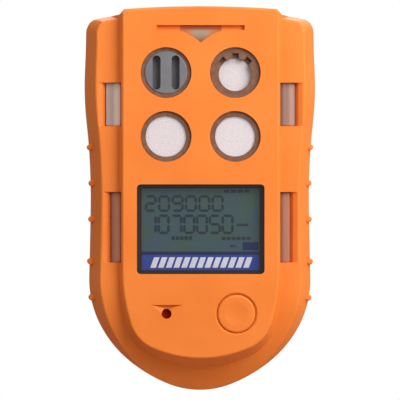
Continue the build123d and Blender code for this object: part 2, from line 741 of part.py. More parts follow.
with BuildPart() as alarm_leds:
    with BuildSketch(facing(MAIN_BOARD_DEPTH)):
        with Locations(*LED_PLACES):
            Rectangle(LED_SIZE[0], LED_SIZE[1])
    extrude(amount=LED_SIZE[2])
finish(alarm_leds, "alarm_leds")

with BuildPart() as status_led:
    with BuildSketch(facing(SENSOR_BOARD_DEPTH)):
        with Locations((0, STATUS_PIPE_HEIGHT)):
            Rectangle(LED_SIZE[0], LED_SIZE[1])
    extrude(amount=LED_SIZE[2])
finish(status_led, "status_led")


# --- Windows for the alarm lights ---------------------------------------------------------


def alarm_lens(side):
    """A light pipe behind one side's two windows, with a pad that stands in each."""
    inner = WINDOW_INNER - LENS_LAP[0]
    high = UPPER_WINDOW[2] + LENS_LAP[1]
    with BuildPart() as lens:
        with BuildSketch(facing(LENS_DEPTH)):
            for edge, bottom, top in (UPPER_WINDOW, LOWER_WINDOW):
                low = bottom - LENS_LAP[1]
                with Locations((side * (inner + edge) / 2, (low + high) / 2)):
                    Rectangle(edge - inner, high - low)
        extrude(amount=-LENS_PLATE)
        with BuildSketch(facing(LENS_DEPTH)):
            for edge, bottom, top in (UPPER_WINDOW, LOWER_WINDOW):
                with Locations((side * (WINDOW_INNER + edge) / 2, (bottom + top) / 2)):
                    RectangleRounded(edge - WINDOW_INNER - 2 * LENS_GAP, top - bottom - 2 * LENS_GAP, 0.5)
        extrude(amount=LENS_PAD)
    return lens


finish(alarm_lens(-1), "left_alarm_lens")
finish(alarm_lens(1), "right_alarm_lens")

with BuildPart() as status_lens:
    with BuildSketch(facing(WALL)):
        add(status_sketch(STATUS_GAP))
    extrude(amount=WALL - SLOT_SINK - 0.1)
    with BuildSketch(facing(WALL)):
        add(status_sketch(STATUS_GAP))
        with Locations((0, SLOT_HEIGHT)):
            Rectangle(2 * SLOT_HALF_WIDTH, SLOT_TALL + 0.3, mode=Mode.SUBTRACT)
    extrude(amount=WALL - 0.3)
    with BuildSketch(facing(WALL)):
        with Locations((0, STATUS_FLANGE_HEIGHT)):
            RectangleRounded(STATUS_FLANGE[0], STATUS_FLANGE[1], 1.0)
    extrude(amount=-STATUS_FLANGE[2])
    with BuildSketch(facing(WALL + STATUS_FLANGE[2])):
        with Locations((0, STATUS_PIPE_HEIGHT)):
            Rectangle(STATUS_PIPE[0], STATUS_PIPE[1])
    extrude(amount=WALL + STATUS_FLANGE[2] - SENSOR_BOARD_DEPTH + BOARD_THICKNESS)
finish(status_lens, "status_lens")


# --- Sensors ------------------------------------------------------------------------------

with BuildPart() as sensor_gaskets:
    for name, (x, height, hole_radius, drop, filter_depth) in SENSORS.items():
        with BuildSketch(facing(GASKET_FRONT)):
            with Locations((x, height)):
                Circle(SENSOR_OPENING_RADIUS - 0.1)
        extrude(amount=GASKET_FRONT - WALL)
        with BuildSketch(facing(WALL)):
            with Locations((x, height)):
                Circle(SENSOR_RADIUS - 0.2)
        extrude(amount=WALL - SENSOR_TOP)
        with BuildSketch(facing(0)):
            with Locations((x, height - drop)):
                Circle(hole_radius)
        extrude(amount=-DEPTH, mode=Mode.SUBTRACT)
    # The moulded guard above the sunk filter is notched.
    sunk = SENSORS["hydrogen_sulphide_sensor"]
    for turn in NOTCH_TURNS:
        with BuildSketch(facing(GASKET_FRONT)):
            with Locations(Location((sunk[0], sunk[1] - sunk[3])) * Location((0, 0, 0), (0, 0, turn))):
                with Locations((sunk[2] + 0.4, 0)):
                    Rectangle(NOTCH_SIZE[0], NOTCH_SIZE[1])
        extrude(amount=-NOTCH_SIZE[2], mode=Mode.SUBTRACT)
finish(sensor_gaskets, "sensor_gaskets")

with BuildPart() as sensor_filters:
    for name, (x, height, hole_radius, drop, filter_depth) in SENSORS.items():
        if name != "flammable_sensor":
            with BuildSketch(facing(filter_depth)):
                with Locations((x, height - drop)):
                    Circle(hole_radius - 0.05)
            extrude(amount=-0.6)
finish(sensor_filters, "sensor_filters")

with BuildPart() as flammable_sensor_cap:
    with BuildSketch(facing(CAP_FRONT)):
        with Locations((-SENSOR_X, SENSOR_HEIGHTS[0])):
            Circle(SENSORS["flammable_sensor"][2] - 0.05)
    extrude(amount=CAP_FRONT - SENSOR_TOP)
    fillet(flammable_sensor_cap.faces().sort_by(Axis.Y)[0].edges(), 0.4)
    with BuildSketch(facing(CAP_FRONT)):
        with Locations((-SENSOR_X, SENSOR_HEIGHTS[0])):
            with GridLocations(CAP_SLOT_PITCH, 0, 2, 1):
                SlotOverall(CAP_SLOT[0], CAP_SLOT[1], rotation=90)
    extrude(amount=CAP_FRONT - SENSOR_TOP, mode=Mode.SUBTRACT)
finish(flammable_sensor_cap, "flammable_sensor_cap")

for name, (x, height, hole_radius, drop, filter_depth) in SENSORS.items():
    with BuildPart() as sensor:
        with BuildSketch(facing(SENSOR_TOP)):
            with Locations((x, height)):
                Circle(SENSOR_RADIUS)
        extrude(amount=SENSOR_TOP - SENSOR_BASE)
        fillet(sensor.edges(), 0.5)
        nose_front = filter_depth + 0.6
        if nose_front < SENSOR_TOP:
            with BuildSketch(facing(SENSOR_TOP)):
                with Locations((x, height - drop)):
                    Circle(hole_radius - 0.3)
            extrude(amount=SENSOR_TOP - nose_front)
        with BuildSketch(facing(SENSOR_BASE)):
            with Locations((x, height)):
                with PolarLocations(PIN_CIRCLE_RADIUS, 3):
                    Circle(SENSOR_PIN_RADIUS)
        extrude(amount=SENSOR_BASE - SENSOR_BOARD_DEPTH)
    finish(sensor, name)

with BuildPart() as sensor_sockets:
    with BuildSketch(facing(SENSOR_BOARD_DEPTH)):
        for x, height in SENSOR_PLACES:
            with Locations((x, height)):
                with PolarLocations(PIN_CIRCLE_RADIUS, 3):
                    Circle(SENSOR_PIN_RADIUS + 0.9)
                    Circle(SENSOR_PIN_RADIUS + 0.04, mode=Mode.SUBTRACT)
    extrude(amount=SENSOR_BOARD_DEPTH - SENSOR_BASE - 0.3)
finish(sensor_sockets, "sensor_sockets")

with BuildPart() as sensor_carrier:
    with BuildSketch(facing(CARRIER_DEPTHS[0])):
        with Locations((0, CARRIER[0])):
            RectangleRounded(CARRIER[1], CARRIER[2], 2.0)
        with Locations(*SENSOR_PLACES):
            Circle(SENSOR_RADIUS + 0.15, mode=Mode.SUBTRACT)
    extrude(amount=CARRIER_DEPTHS[0] - CARRIER_DEPTHS[1])
finish(sensor_carrier, "sensor_carrier")


# --- Button and switch --------------------------------------------------------------------

with BuildPart() as operator_button:
    with BuildSketch(plan_view(BUTTON_X, CONTROL_HEIGHT)):
        with BuildLine():
            rim = BUTTON_HOLE_RADIUS - BUTTON_GAP
            dish = ThreePointArc((0, BUTTON_DISH), (BUTTON_CREST / 2, 0.7 * BUTTON_DISH), (BUTTON_CREST, 0))
            shoulder = Line(dish @ 1, (rim - BUTTON_ROUND, 0))
            round_edge = TangentArc(shoulder @ 1, (rim, BUTTON_ROUND), tangent=(1, 0))
            Polyline(
                round_edge @ 1,
                (rim, BUTTON_FLANGE_DEPTH),
                (BUTTON_FLANGE_RADIUS, BUTTON_FLANGE_DEPTH),
                (BUTTON_FLANGE_RADIUS, BUTTON_FLANGE_DEPTH + 1.0),
                (STEM_RADIUS, BUTTON_FLANGE_DEPTH + 1.0),
                (STEM_RADIUS, PLUNGER_TOP),
                (0, PLUNGER_TOP),
                (0, BUTTON_DISH),
            )
        make_face()
    revolve(axis=inwards(BUTTON_X, CONTROL_HEIGHT))
finish(operator_button, "operator_button")

with BuildPart() as switch_plunger:
    with BuildSketch(facing(PLUNGER_TOP)):
        with Locations((BUTTON_X, CONTROL_HEIGHT)):
            Circle(PLUNGER_RADIUS)
    extrude(amount=-PLUNGER_LENGTH)
finish(switch_plunger, "switch_plunger")

with BuildPart() as switch_body:
    with BuildSketch(facing(SWITCH_FRONT)):
        with Locations((BUTTON_X, CONTROL_HEIGHT)):
            Rectangle(SWITCH_WIDTH, SWITCH_WIDTH)
    extrude(amount=SWITCH_FRONT - MAIN_BOARD_DEPTH)
    with BuildSketch(facing(SWITCH_FRONT)):
        with Locations((BUTTON_X, CONTROL_HEIGHT)):
            Circle(PLUNGER_RADIUS + 0.08)
    bore = PLUNGER_TOP + PLUNGER_LENGTH + BUTTON_TRAVEL + 0.3 - SWITCH_FRONT
    extrude(amount=-bore, mode=Mode.SUBTRACT)
finish(switch_body, "switch_body")


# --- Sounder ------------------------------------------------------------------------------

with BuildPart() as sounder_mesh:
    with BuildSketch(facing(WALL)):
        with Locations((SOUNDER_X, CONTROL_HEIGHT)):
            Circle(MESH_RADIUS)
    extrude(amount=-MESH_THICKNESS)
finish(sounder_mesh, "sounder_mesh")

with BuildPart() as sounder_gasket:
    with BuildSketch(facing(WALL)):
        with Locations((SOUNDER_X, CONTROL_HEIGHT)):
            Circle(SOUNDER_GASKET[0])
            Circle(SOUNDER_GASKET[1], mode=Mode.SUBTRACT)
    extrude(amount=WALL - SOUNDER_FRONT)
finish(sounder_gasket, "sounder_gasket")

with BuildPart() as sounder:
    with BuildSketch(facing(SOUNDER_FRONT)):
        with Locations((SOUNDER_X, CONTROL_HEIGHT)):
            Circle(SOUNDER_RADIUS)
    extrude(amount=SOUNDER_FRONT - MAIN_BOARD_DEPTH)
    with BuildSketch(facing(SOUNDER_FRONT)):
        with Locations((SOUNDER_X, CONTROL_HEIGHT)):
            Circle(SOUNDER_HOLE[0])
    extrude(amount=-SOUNDER_HOLE[1], mode=Mode.SUBTRACT)
finish(sounder, "sounder")


# --- Vibration alarm ----------------------------------------------------------------------


def motor_view(x):
    """A plane across the motor's axle: its x is depth from the axle and its y is height."""
    return Plane(
        origin=(x, FRONT_Y + MOTOR_DEPTH, TIP_Z + MOTOR_HEIGHT), x_dir=(0, 1, 0), z_dir=(1, 0, 0)
    )


with BuildPart() as vibration_motor:
    with BuildSketch(motor_view(MOTOR_ENDS[0])):
        Circle(MOTOR_RADIUS)
    extrude(amount=MOTOR_ENDS[1] - MOTOR_ENDS[0])
    with BuildSketch(motor_view(MOTOR_ENDS[1])):
        Circle(MOTOR_AXLE_RADIUS)
    extrude(amount=WEIGHT_ENDS[1] - MOTOR_ENDS[1])
finish(vibration_motor, "vibration_motor")

with BuildPart() as vibration_weight:
    with BuildSketch(motor_view(WEIGHT_ENDS[0])):
        Circle(WEIGHT_RADIUS)
        with Locations((0, WEIGHT_RADIUS)):
            Rectangle(2 * WEIGHT_RADIUS, 2 * WEIGHT_RADIUS - 1.0, mode=Mode.SUBTRACT)
        Circle(WEIGHT_HUB_RADIUS)
        Circle(MOTOR_AXLE_RADIUS + 0.03, mode=Mode.SUBTRACT)
    extrude(amount=WEIGHT_ENDS[1] - WEIGHT_ENDS[0])
finish(vibration_weight, "vibration_weight")

with BuildPart() as motor_bracket:
    with BuildSketch(motor_view(MOTOR_ENDS[0] + 1.0)):
        Circle(MOTOR_RADIUS + 0.05 + BRACKET_THICKNESS)
        Circle(MOTOR_RADIUS + 0.05, mode=Mode.SUBTRACT)
        with Locations((MOTOR_RADIUS, 0)):
            Rectangle(2 * MOTOR_RADIUS, 2 * MOTOR_RADIUS + 3, mode=Mode.SUBTRACT)
        with Locations((MAIN_BOARD_BACK - MOTOR_DEPTH + BRACKET_FOOT[0] / 2, 0)):
            Rectangle(BRACKET_FOOT[0], BRACKET_FOOT[1])
    extrude(amount=MOTOR_ENDS[1] - MOTOR_ENDS[0] - 2.0)
finish(motor_bracket, "motor_bracket")


# --- Battery ------------------------------------------------------------------------------

with BuildPart() as battery_cell:
    with BuildSketch(facing(BATTERY_DEPTH)):
        with Locations((0, BATTERY_HEIGHT)):
            RectangleRounded(BATTERY[0], BATTERY[1], 2.0)
    extrude(amount=-BATTERY[2])
    fillet(battery_cell.edges().filter_by(lambda edge: abs(edge.tangent_at(0.5).Y) < 0.5), 1.2)
finish(battery_cell, "battery_cell")

with BuildPart() as battery_tray:
    with BuildSketch(facing(TRAY_FRONT)):
        with Locations((0, BATTERY_HEIGHT)):
            RectangleRounded(BATTERY[0] + TRAY_MARGIN, BATTERY[1] + TRAY_MARGIN, 3.0)
    extrude(amount=TRAY_FRONT - DEPTH + WALL)
    with BuildSketch(facing(TRAY_FRONT)):
        with Locations((0, BATTERY_HEIGHT)):
            RectangleRounded(BATTERY[0] + TRAY_GAP, BATTERY[1] + TRAY_GAP, 2.1)
    extrude(amount=TRAY_FRONT - BATTERY_DEPTH - BATTERY[2], mode=Mode.SUBTRACT)
finish(battery_tray, "battery_tray")

with BuildPart() as battery_plug:
    with BuildSketch(facing(BOARD_CHIPS[0][4] + MAIN_BOARD_BACK)):
        with Locations((BOARD_CHIPS[0][0], BOARD_CHIPS[0][1])):
            Rectangle(BOARD_CHIPS[0][2] - 1.0, BOARD_CHIPS[0][3] - 0.6)
    extrude(amount=-PLUG_LENGTH)
finish(battery_plug, "battery_plug")

with BuildPart() as battery_leads:
    plug_back = BOARD_CHIPS[0][4] + MAIN_BOARD_BACK + PLUG_LENGTH
    for x in LEAD_PLACES:
        with BuildLine(side_view(x + BOARD_CHIPS[0][0])) as route:
            FilletPolyline(
                (plug_back, BOARD_CHIPS[0][1]),
                (plug_back + 4.0, BOARD_CHIPS[0][1]),
                (BATTERY_DEPTH + 2.6, BOARD_CHIPS[0][1] + 1.4),
                (BATTERY_DEPTH + 2.6, BATTERY_HEIGHT - BATTERY[1] / 2),
                radius=1.4,
            )
        with BuildSketch(Plane(origin=route.wire() @ 0, z_dir=route.wire() % 0)):
            Circle(LEAD_RADIUS)
        sweep(path=route.wire())
finish(battery_leads, "battery_leads")


# --- Charging contacts and label ----------------------------------------------------------

with BuildPart() as contact_block:
    with BuildSketch(facing(DEPTH - 0.3)):
        with Locations((0, CONTACT_HEIGHT)):
            RectangleRounded(CONTACT_BLOCK[0], CONTACT_BLOCK[1], 1.0)
    extrude(amount=WALL - 0.3)
    with BuildSketch(facing(DEPTH - WALL)):
        with Locations((0, CONTACT_HEIGHT)):
            RectangleRounded(CONTACT_FLANGE[0], CONTACT_FLANGE[1], 1.0)
    extrude(amount=CONTACT_FLANGE[2])
    with BuildSketch(facing(DEPTH)):
        with Locations((0, CONTACT_HEIGHT)):
            with GridLocations(CONTACT_PITCH, 0, 4, 1):
                Circle(CONTACT_RADIUS + 0.03)
    extrude(amount=WALL + 2.0, mode=Mode.SUBTRACT)
finish(contact_block, "contact_block")

with BuildPart() as charging_contacts:
    with BuildSketch(facing(DEPTH - CONTACT_SINK)):
        with Locations((0, CONTACT_HEIGHT)):
            with GridLocations(CONTACT_PITCH, 0, 4, 1):
                Circle(CONTACT_RADIUS)
    extrude(amount=CONTACT_LENGTH)
    fillet(charging_contacts.faces().group_by(Axis.Y)[-1].edges(), 0.3)
finish(charging_contacts, "charging_contacts")

with BuildPart() as rating_label:
    with BuildSketch(facing(DEPTH)):
        with Locations((0, LABEL_HEIGHT)):
            RectangleRounded(LABEL_SIZE[0], LABEL_SIZE[1], 2.0)
    extrude(amount=LABEL_SINK)
finish(rating_label, "rating_label")


# --- Clip ---------------------------------------------------------------------------------

with BuildPart() as clip_base:
    with BuildSketch(facing(DEPTH)):
        with Locations((0, (CLIP_BOTTOM + CLIP_TOP) / 2)):
            RectangleRounded(2 * CLIP_HALF_WIDTH, CLIP_TOP - CLIP_BOTTOM, 2.5)
        for screw_height in CLIP_SCREW_HEIGHTS:
            with Locations((0, screw_height)):
                Circle(CLIP_SCREW_RADIUS + 0.3, mode=Mode.SUBTRACT)
    extrude(amount=-SHEET)
    # Ears for the pin, bent up from both edges.
    for x in (-CLIP_HALF_WIDTH, CLIP_HALF_WIDTH - SHEET):
        with BuildSketch(side_view(x)):
            with BuildLine():
                ear = ThreePointArc(
                    (PIN_DEPTH + 0.6, PIN_HEIGHT + EAR_RADIUS),
                    (PIN_DEPTH + EAR_RADIUS, PIN_HEIGHT),
                    (PIN_DEPTH + 0.6, PIN_HEIGHT - EAR_RADIUS),
                )
                Polyline(ear @ 1, (DEPTH, PIN_HEIGHT - EAR_FOOT), (DEPTH, PIN_HEIGHT + EAR_FOOT), ear @ 0)
            make_face()
            with Locations((PIN_DEPTH, PIN_HEIGHT)):
                Circle(PIN_RADIUS + 0.02, mode=Mode.SUBTRACT)
        extrude(amount=SHEET)
    # Teeth along the lower edge.
    with BuildSketch(facing(DEPTH + SHEET)):
        with Locations((0, TOOTH_HEIGHT)):
            with GridLocations(TOOTH_PITCH, 0, TOOTH_COUNT, 1):
                Rectangle(TOOTH_SIZE[0], TOOTH_SIZE[1])
    extrude(amount=-TOOTH_SIZE[2])
finish(clip_base, "clip_base")

with BuildPart() as clip_lever:
    with BuildSketch(side_view(-LEVER_HALF_WIDTH)):
        with BuildLine():
            FilletPolyline(*LEVER_PLACES, radius=LEVER_BEND)
        trace(line_width=SHEET)
    extrude(amount=2 * LEVER_HALF_WIDTH)
    # Ears round the pin.
    for x in (-LEVER_HALF_WIDTH, LEVER_HALF_WIDTH - SHEET):
        with BuildSketch(side_view(x)):
            with Locations((PIN_DEPTH, PIN_HEIGHT)):
                Circle(EAR_RADIUS)
            with Locations(((PIN_DEPTH + LEVER_WEB_DEPTH) / 2, PIN_HEIGHT)):
                Rectangle(LEVER_WEB_DEPTH - PIN_DEPTH, 2 * EAR_RADIUS)
            with Locations((PIN_DEPTH, PIN_HEIGHT)):
                Circle(PIN_RADIUS + 0.07, mode=Mode.SUBTRACT)
        extrude(amount=SHEET)
    # A slot that lets a driver reach the screws, and the jaw's tooth bar.
    with BuildSketch(facing(LEVER_WEB_DEPTH - SHEET)):
        with Locations((0, sum(CLIP_SCREW_HEIGHTS) / 2)):
            slot_width = 2 * CLIP_HEAD_RADIUS + 0.8
            SlotOverall(CLIP_SCREW_HEIGHTS[1] - CLIP_SCREW_HEIGHTS[0] + slot_width, slot_width, rotation=90)
    extrude(amount=-2 * SHEET, mode=Mode.SUBTRACT)
    with BuildSketch(side_view(-LEVER_HALF_WIDTH)):
        with Locations((JAW_BAR_DEPTH, TOOTH_HEIGHT)):
            Rectangle(JAW_BAR[0], JAW_BAR[1])
    extrude(amount=2 * LEVER_HALF_WIDTH)
finish(clip_lever, "clip_lever")

with BuildPart() as clip_pin:
    with BuildSketch(side_view(-CLIP_HALF_WIDTH - 1.0)):
        with Locations((PIN_DEPTH, PIN_HEIGHT)):
            Circle(PIN_RADIUS)
    extrude(amount=2 * CLIP_HALF_WIDTH + 2.0)
    for x in (-CLIP_HALF_WIDTH - 1.0, CLIP_HALF_WIDTH + 0.1):
        with BuildSketch(side_view(x)):
            with Locations((PIN_DEPTH, PIN_HEIGHT)):
                Circle(PIN_HEAD[0])
        extrude(amount=PIN_HEAD[1])
finish(clip_pin, "clip_pin")

with BuildPart() as clip_spring:
    coil_start = Vector(-COIL_LENGTH / 2, FRONT_Y + PIN_DEPTH, TIP_Z + PIN_HEIGHT)
    with BuildLine() as coil:
        Helix(COIL_LENGTH / COIL_TURNS, COIL_LENGTH, SPRING_RADIUS, center=coil_start, direction=(1, 0, 0))
    with BuildSketch(Plane(origin=coil.wire() @ 0, z_dir=coil.wire() % 0)):
        Circle(WIRE_RADIUS)
    sweep(path=coil.wire(), is_frenet=True)
    # One arm presses on the lever and the other on the base.
    coil_top = PIN_HEIGHT + SPRING_RADIUS
    for x, arm_depth in ((-COIL_LENGTH / 2, LEVER_ARM_DEPTH), (COIL_LENGTH / 2, BASE_ARM_DEPTH)):
        with BuildLine(side_view(x)) as arm:
            FilletPolyline((PIN_DEPTH, coil_top), (arm_depth, coil_top), (arm_depth, ARM_TOP), radius=1.2)
        with BuildSketch(Plane(origin=arm.wire() @ 0, z_dir=arm.wire() % 0)):
            Circle(WIRE_RADIUS)
        sweep(path=arm.wire())
finish(clip_spring, "clip_spring")

with BuildPart() as clip_screws:
    with BuildSketch(facing(DEPTH + SHEET)):
        for screw_height in CLIP_SCREW_HEIGHTS:
            with Locations((0, screw_height)):
                Circle(CLIP_SCREW_RADIUS)
    extrude(amount=DEPTH + SHEET - CLIP_BOSS_DEPTH - 0.4)
    with BuildSketch(facing(DEPTH + SHEET)):
        for screw_height in CLIP_SCREW_HEIGHTS:
            with Locations((0, screw_height)):
                Circle(CLIP_HEAD_RADIUS)
    extrude(amount=-1.2)
finish(clip_screws, "clip_screws")
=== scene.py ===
"""Looks for the portable gas detector: materials, display, label, clip spring, light and camera.

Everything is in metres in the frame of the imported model: +Z is up and the front faces -Y.
"""

import math

import bmesh
import bpy
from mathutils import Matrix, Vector


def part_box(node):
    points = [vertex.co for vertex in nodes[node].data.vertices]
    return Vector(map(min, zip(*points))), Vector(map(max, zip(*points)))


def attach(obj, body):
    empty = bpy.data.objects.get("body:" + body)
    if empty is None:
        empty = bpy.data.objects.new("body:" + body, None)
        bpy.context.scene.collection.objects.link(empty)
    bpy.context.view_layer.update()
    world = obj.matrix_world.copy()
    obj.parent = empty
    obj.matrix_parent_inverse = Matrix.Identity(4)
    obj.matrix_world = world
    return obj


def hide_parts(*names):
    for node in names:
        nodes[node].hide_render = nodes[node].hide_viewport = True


MM = 0.001

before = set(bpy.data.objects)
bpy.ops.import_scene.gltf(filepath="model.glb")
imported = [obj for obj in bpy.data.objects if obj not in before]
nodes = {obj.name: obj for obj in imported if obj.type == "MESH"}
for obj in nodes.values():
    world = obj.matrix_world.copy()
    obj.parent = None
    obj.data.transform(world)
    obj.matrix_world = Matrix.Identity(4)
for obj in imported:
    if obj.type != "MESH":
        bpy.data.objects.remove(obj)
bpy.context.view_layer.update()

FRONT_LOW, FRONT_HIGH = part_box("front_cover")
REAR_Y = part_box("rear_cover")[1].y
FRONT_Y = FRONT_LOW.y
TIP_Z = FRONT_LOW.z
MIDDLE = Vector((0, (FRONT_Y + REAR_Y) / 2, (TIP_Z + FRONT_HIGH.z) / 2))


def level(height):
    """The Z of a height in mm above the housing's tip."""
    return TIP_Z + height * MM


# --- Materials ----------------------------------------------------------------------------


MIX_INPUTS = (0, 6, 7)  # a colour mix has several sockets by the same name, so these are places
MIX_RESULT = 2


class Finish:
    """A material with one Principled shader, and the patterns that drive it."""

    def __init__(self, name, colour, roughness, metallic=0.0, specular=0.5):
        self.material = bpy.data.materials.new(name)
        self.material.use_nodes = True
        self.tree = self.material.node_tree
        self.shader = self.tree.nodes["Principled BSDF"]
        self.shader.inputs["Base Color"].default_value = (*colour, 1.0)
        self.shader.inputs["Roughness"].default_value = roughness
        self.shader.inputs["Metallic"].default_value = metallic
        self.shader.inputs["Specular IOR Level"].default_value = specular
        self.place = self.add("ShaderNodeTexCoord").outputs["Object"]
        self.normal = None

    def add(self, kind, **settings):
        """Adds a node and sets its properties."""
        node = self.tree.nodes.new(kind)
        for name, value in settings.items():
            setattr(node, name, value)
        return node

    def link(self, source, target):
        """Joins an output socket to an input socket."""
        self.tree.links.new(source, target)

    def stretched(self, scale):
        """Object coordinates with each axis scaled, for streaks."""
        mapping = self.add("ShaderNodeMapping")
        mapping.inputs["Scale"].default_value = scale
        self.link(self.place, mapping.inputs["Vector"])
        return mapping.outputs["Vector"]

    def noise(self, size, detail=2.0, stretch=(1, 1, 1)):
        """Noise whose blotches are about size metres across."""
        node = self.add("ShaderNodeTexNoise")
        node.inputs["Scale"].default_value = 1.0 / size
        node.inputs["Detail"].default_value = detail
        self.link(self.stretched(stretch), node.inputs["Vector"])
        return node.outputs["Fac"]

    def ramp(self, source, stops):
        """A colour ramp over source: stops are (place, colour)."""
        node = self.add("ShaderNodeValToRGB")
        elements = node.color_ramp.elements
        while len(elements) < len(stops):
            elements.new(0.5)
        for element, (at, colour) in zip(elements, stops):
            element.position = at
            element.color = (*colour, 1.0)
        self.link(source, node.inputs["Fac"])
        return node.outputs["Color"]

    def tint(self, source, low, high, start=0.35, stop=0.65):
        """Lets the base colour run from low to high over a pattern."""
        self.link(self.ramp(source, [(start, low), (stop, high)]), self.shader.inputs["Base Color"])

    def share_of(self, source, start, stop, **settings):
        """How far a value has come from start to stop, between 0 and 1."""
        node = self.add("ShaderNodeMapRange", **settings)
        node.inputs["From Min"].default_value = start
        node.inputs["From Max"].default_value = stop
        self.link(source, node.inputs["Value"])
        return node.outputs["Result"]

    def mix(self, share, under, over, blend="MIX"):
        """One colour over another. Each of the three is an output socket or a plain value."""
        node = self.add("ShaderNodeMix", data_type="RGBA", blend_type=blend)
        for source, target in zip((share, under, over), MIX_INPUTS):
            if isinstance(source, bpy.types.NodeSocket):
                self.link(source, node.inputs[target])
            else:
                node.inputs[target].default_value = source
        return node.outputs[MIX_RESULT]

    def between(self, source, low, high):
        """A value that runs from low to high as its source runs from 0 to 1."""
        node = self.add("ShaderNodeMapRange")
        node.inputs["To Min"].default_value = low
        node.inputs["To Max"].default_value = high
        self.link(source, node.inputs["Value"])
        return node.outputs["Result"]

    def gloss(self, source, low, high):
        """Lets the roughness run from low to high over a pattern."""
        self.link(self.between(source, low, high), self.shader.inputs["Roughness"])

    def bump(self, source, depth):
        """Adds relief of a pattern, depth in metres, over what is there already."""
        node = self.add("ShaderNodeBump")
        node.inputs["Distance"].default_value = depth
        self.link(source, node.inputs["Height"])
        if self.normal is not None:
            self.link(self.normal, node.inputs["Normal"])
        self.normal = node.outputs["Normal"]
        self.link(self.normal, self.shader.inputs["Normal"])


def scaled(colour, gain, lift=0.0):
    """A lighter or darker shade of a colour."""
    return tuple(min(1.0, value * gain + lift) for value in colour)


def moulded_orange(name, low, high):
    """Tough moulded plastic: slight colour drift and a fine spark-eroded grain."""
    finish = Finish(name, high, roughness=0.5, specular=0.2)
    finish.tint(finish.noise(22 * MM, detail=3), low, high)
    finish.gloss(finish.noise(3 * MM), low=0.42, high=0.58)
    finish.bump(finish.noise(0.45 * MM, detail=1), depth=0.012 * MM)
    return finish.material


def dark_rubber(name, colour):
    """Matt elastomer with a faint bloom."""
    finish = Finish(name, colour, roughness=0.7, specular=0.3)
    finish.tint(finish.noise(2 * MM), colour, scaled(colour, 1.35, lift=0.004))
    finish.bump(finish.noise(0.3 * MM), depth=0.01 * MM)
    return finish.material


def plain_plastic(name, colour, roughness=0.45):
    """Small moulded parts: nearly even, with a little grain."""
    finish = Finish(name, colour, roughness)
    finish.tint(finish.noise(4 * MM), colour, scaled(colour, 1.12))
    finish.bump(finish.noise(0.3 * MM), depth=0.006 * MM)
    return finish.material


def brushed_steel(name, along):
    """Stainless sheet with brush lines running along one axis."""
    finish = Finish(name, (0.56, 0.56, 0.57), roughness=0.3, metallic=1.0)
    stretch = tuple(0.03 if axis == along else 1.0 for axis in "XYZ")
    lines = finish.noise(0.25 * MM, detail=3, stretch=stretch)
    finish.tint(lines, (0.47, 0.47, 0.48), (0.64, 0.64, 0.65))
    finish.gloss(lines, low=0.22, high=0.42)
    finish.bump(lines, depth=0.004 * MM)
    return finish.material


def machined_metal(name, colour, roughness):
    """Turned or plated metal with light handling marks."""
    finish = Finish(name, colour, roughness, metallic=1.0)
    finish.gloss(finish.noise(0.8 * MM, detail=4), low=roughness * 0.8, high=roughness * 1.4)
    finish.bump(finish.noise(0.2 * MM), depth=0.002 * MM)
    return finish.material


def membrane_white(name):
    """Porous filter membrane: matt white with a faint felted fibre."""
    finish = Finish(name, (0.64, 0.59, 0.60), roughness=0.85, specular=0.2)
    fibre = finish.noise(0.35 * MM, detail=6)
    finish.tint(fibre, (0.57, 0.515, 0.53), (0.73, 0.67, 0.68))
    finish.bump(fibre, depth=0.02 * MM)
    return finish.material


SHEEN_STRAIGHT = 0.04  # the share that a clear sheet reflects when seen straight on
SHEEN_POWER = 5.0  # how late that share rises towards a slant


def clear_window(name, tint, roughness):
    """A thin clear sheet: what is behind shows through, under a sheen that grows at a slant."""
    finish = Finish(name, (0.02, 0.02, 0.02), roughness)
    clear = finish.add("ShaderNodeBsdfTransparent")
    clear.inputs["Color"].default_value = (*tint, 1.0)
    sheen = finish.add("ShaderNodeBsdfGlossy")
    smears = finish.between(finish.noise(6 * MM, detail=4), roughness * 0.6, roughness * 1.8)
    finish.link(smears, sheen.inputs["Roughness"])
    slant = finish.add("ShaderNodeLayerWeight")
    slant.inputs["Blend"].default_value = 0.5
    steep = finish.add("ShaderNodeMath", operation="POWER")
    steep.inputs[1].default_value = SHEEN_POWER
    finish.link(slant.outputs["Facing"], steep.inputs[0])
    mix = finish.add("ShaderNodeMixShader")
    finish.link(finish.between(steep.outputs["Value"], SHEEN_STRAIGHT, 1.0), mix.inputs["Fac"])
    finish.link(clear.outputs["BSDF"], mix.inputs[1])
    finish.link(sheen.outputs["BSDF"], mix.inputs[2])
    output = finish.tree.nodes["Material Output"]
    finish.link(mix.outputs["Shader"], output.inputs["Surface"])
    finish.tree.nodes.remove(finish.shader)
    return finish.material


def printed_ink(name, colour, roughness=0.35):
    """Printed ink with slight changes of density."""
    finish = Finish(name, colour, roughness)
    finish.tint(finish.noise(3 * MM), colour, scaled(colour, 1.1))
    return finish.material


MESH_THREAD = 0.15 * MM


def sounder_weave(name, colour):
    """The fine woven mesh in the port, matt, with its threads as relief."""
    finish = Finish(name, colour, roughness=0.8, specular=0.05)
    threads = finish.add("ShaderNodeTexChecker")
    threads.inputs["Scale"].default_value = 1.0 / MESH_THREAD
    finish.link(finish.place, threads.inputs["Vector"])
    finish.tint(threads.outputs["Fac"], scaled(colour, 0.6), colour, start=0.0, stop=1.0)
    finish.bump(threads.outputs["Fac"], depth=0.02 * MM)
    return finish.material


LCD_STRIPE_SCALE = 2500 / 3  # a stripe every 0.75 mm along X and along Z


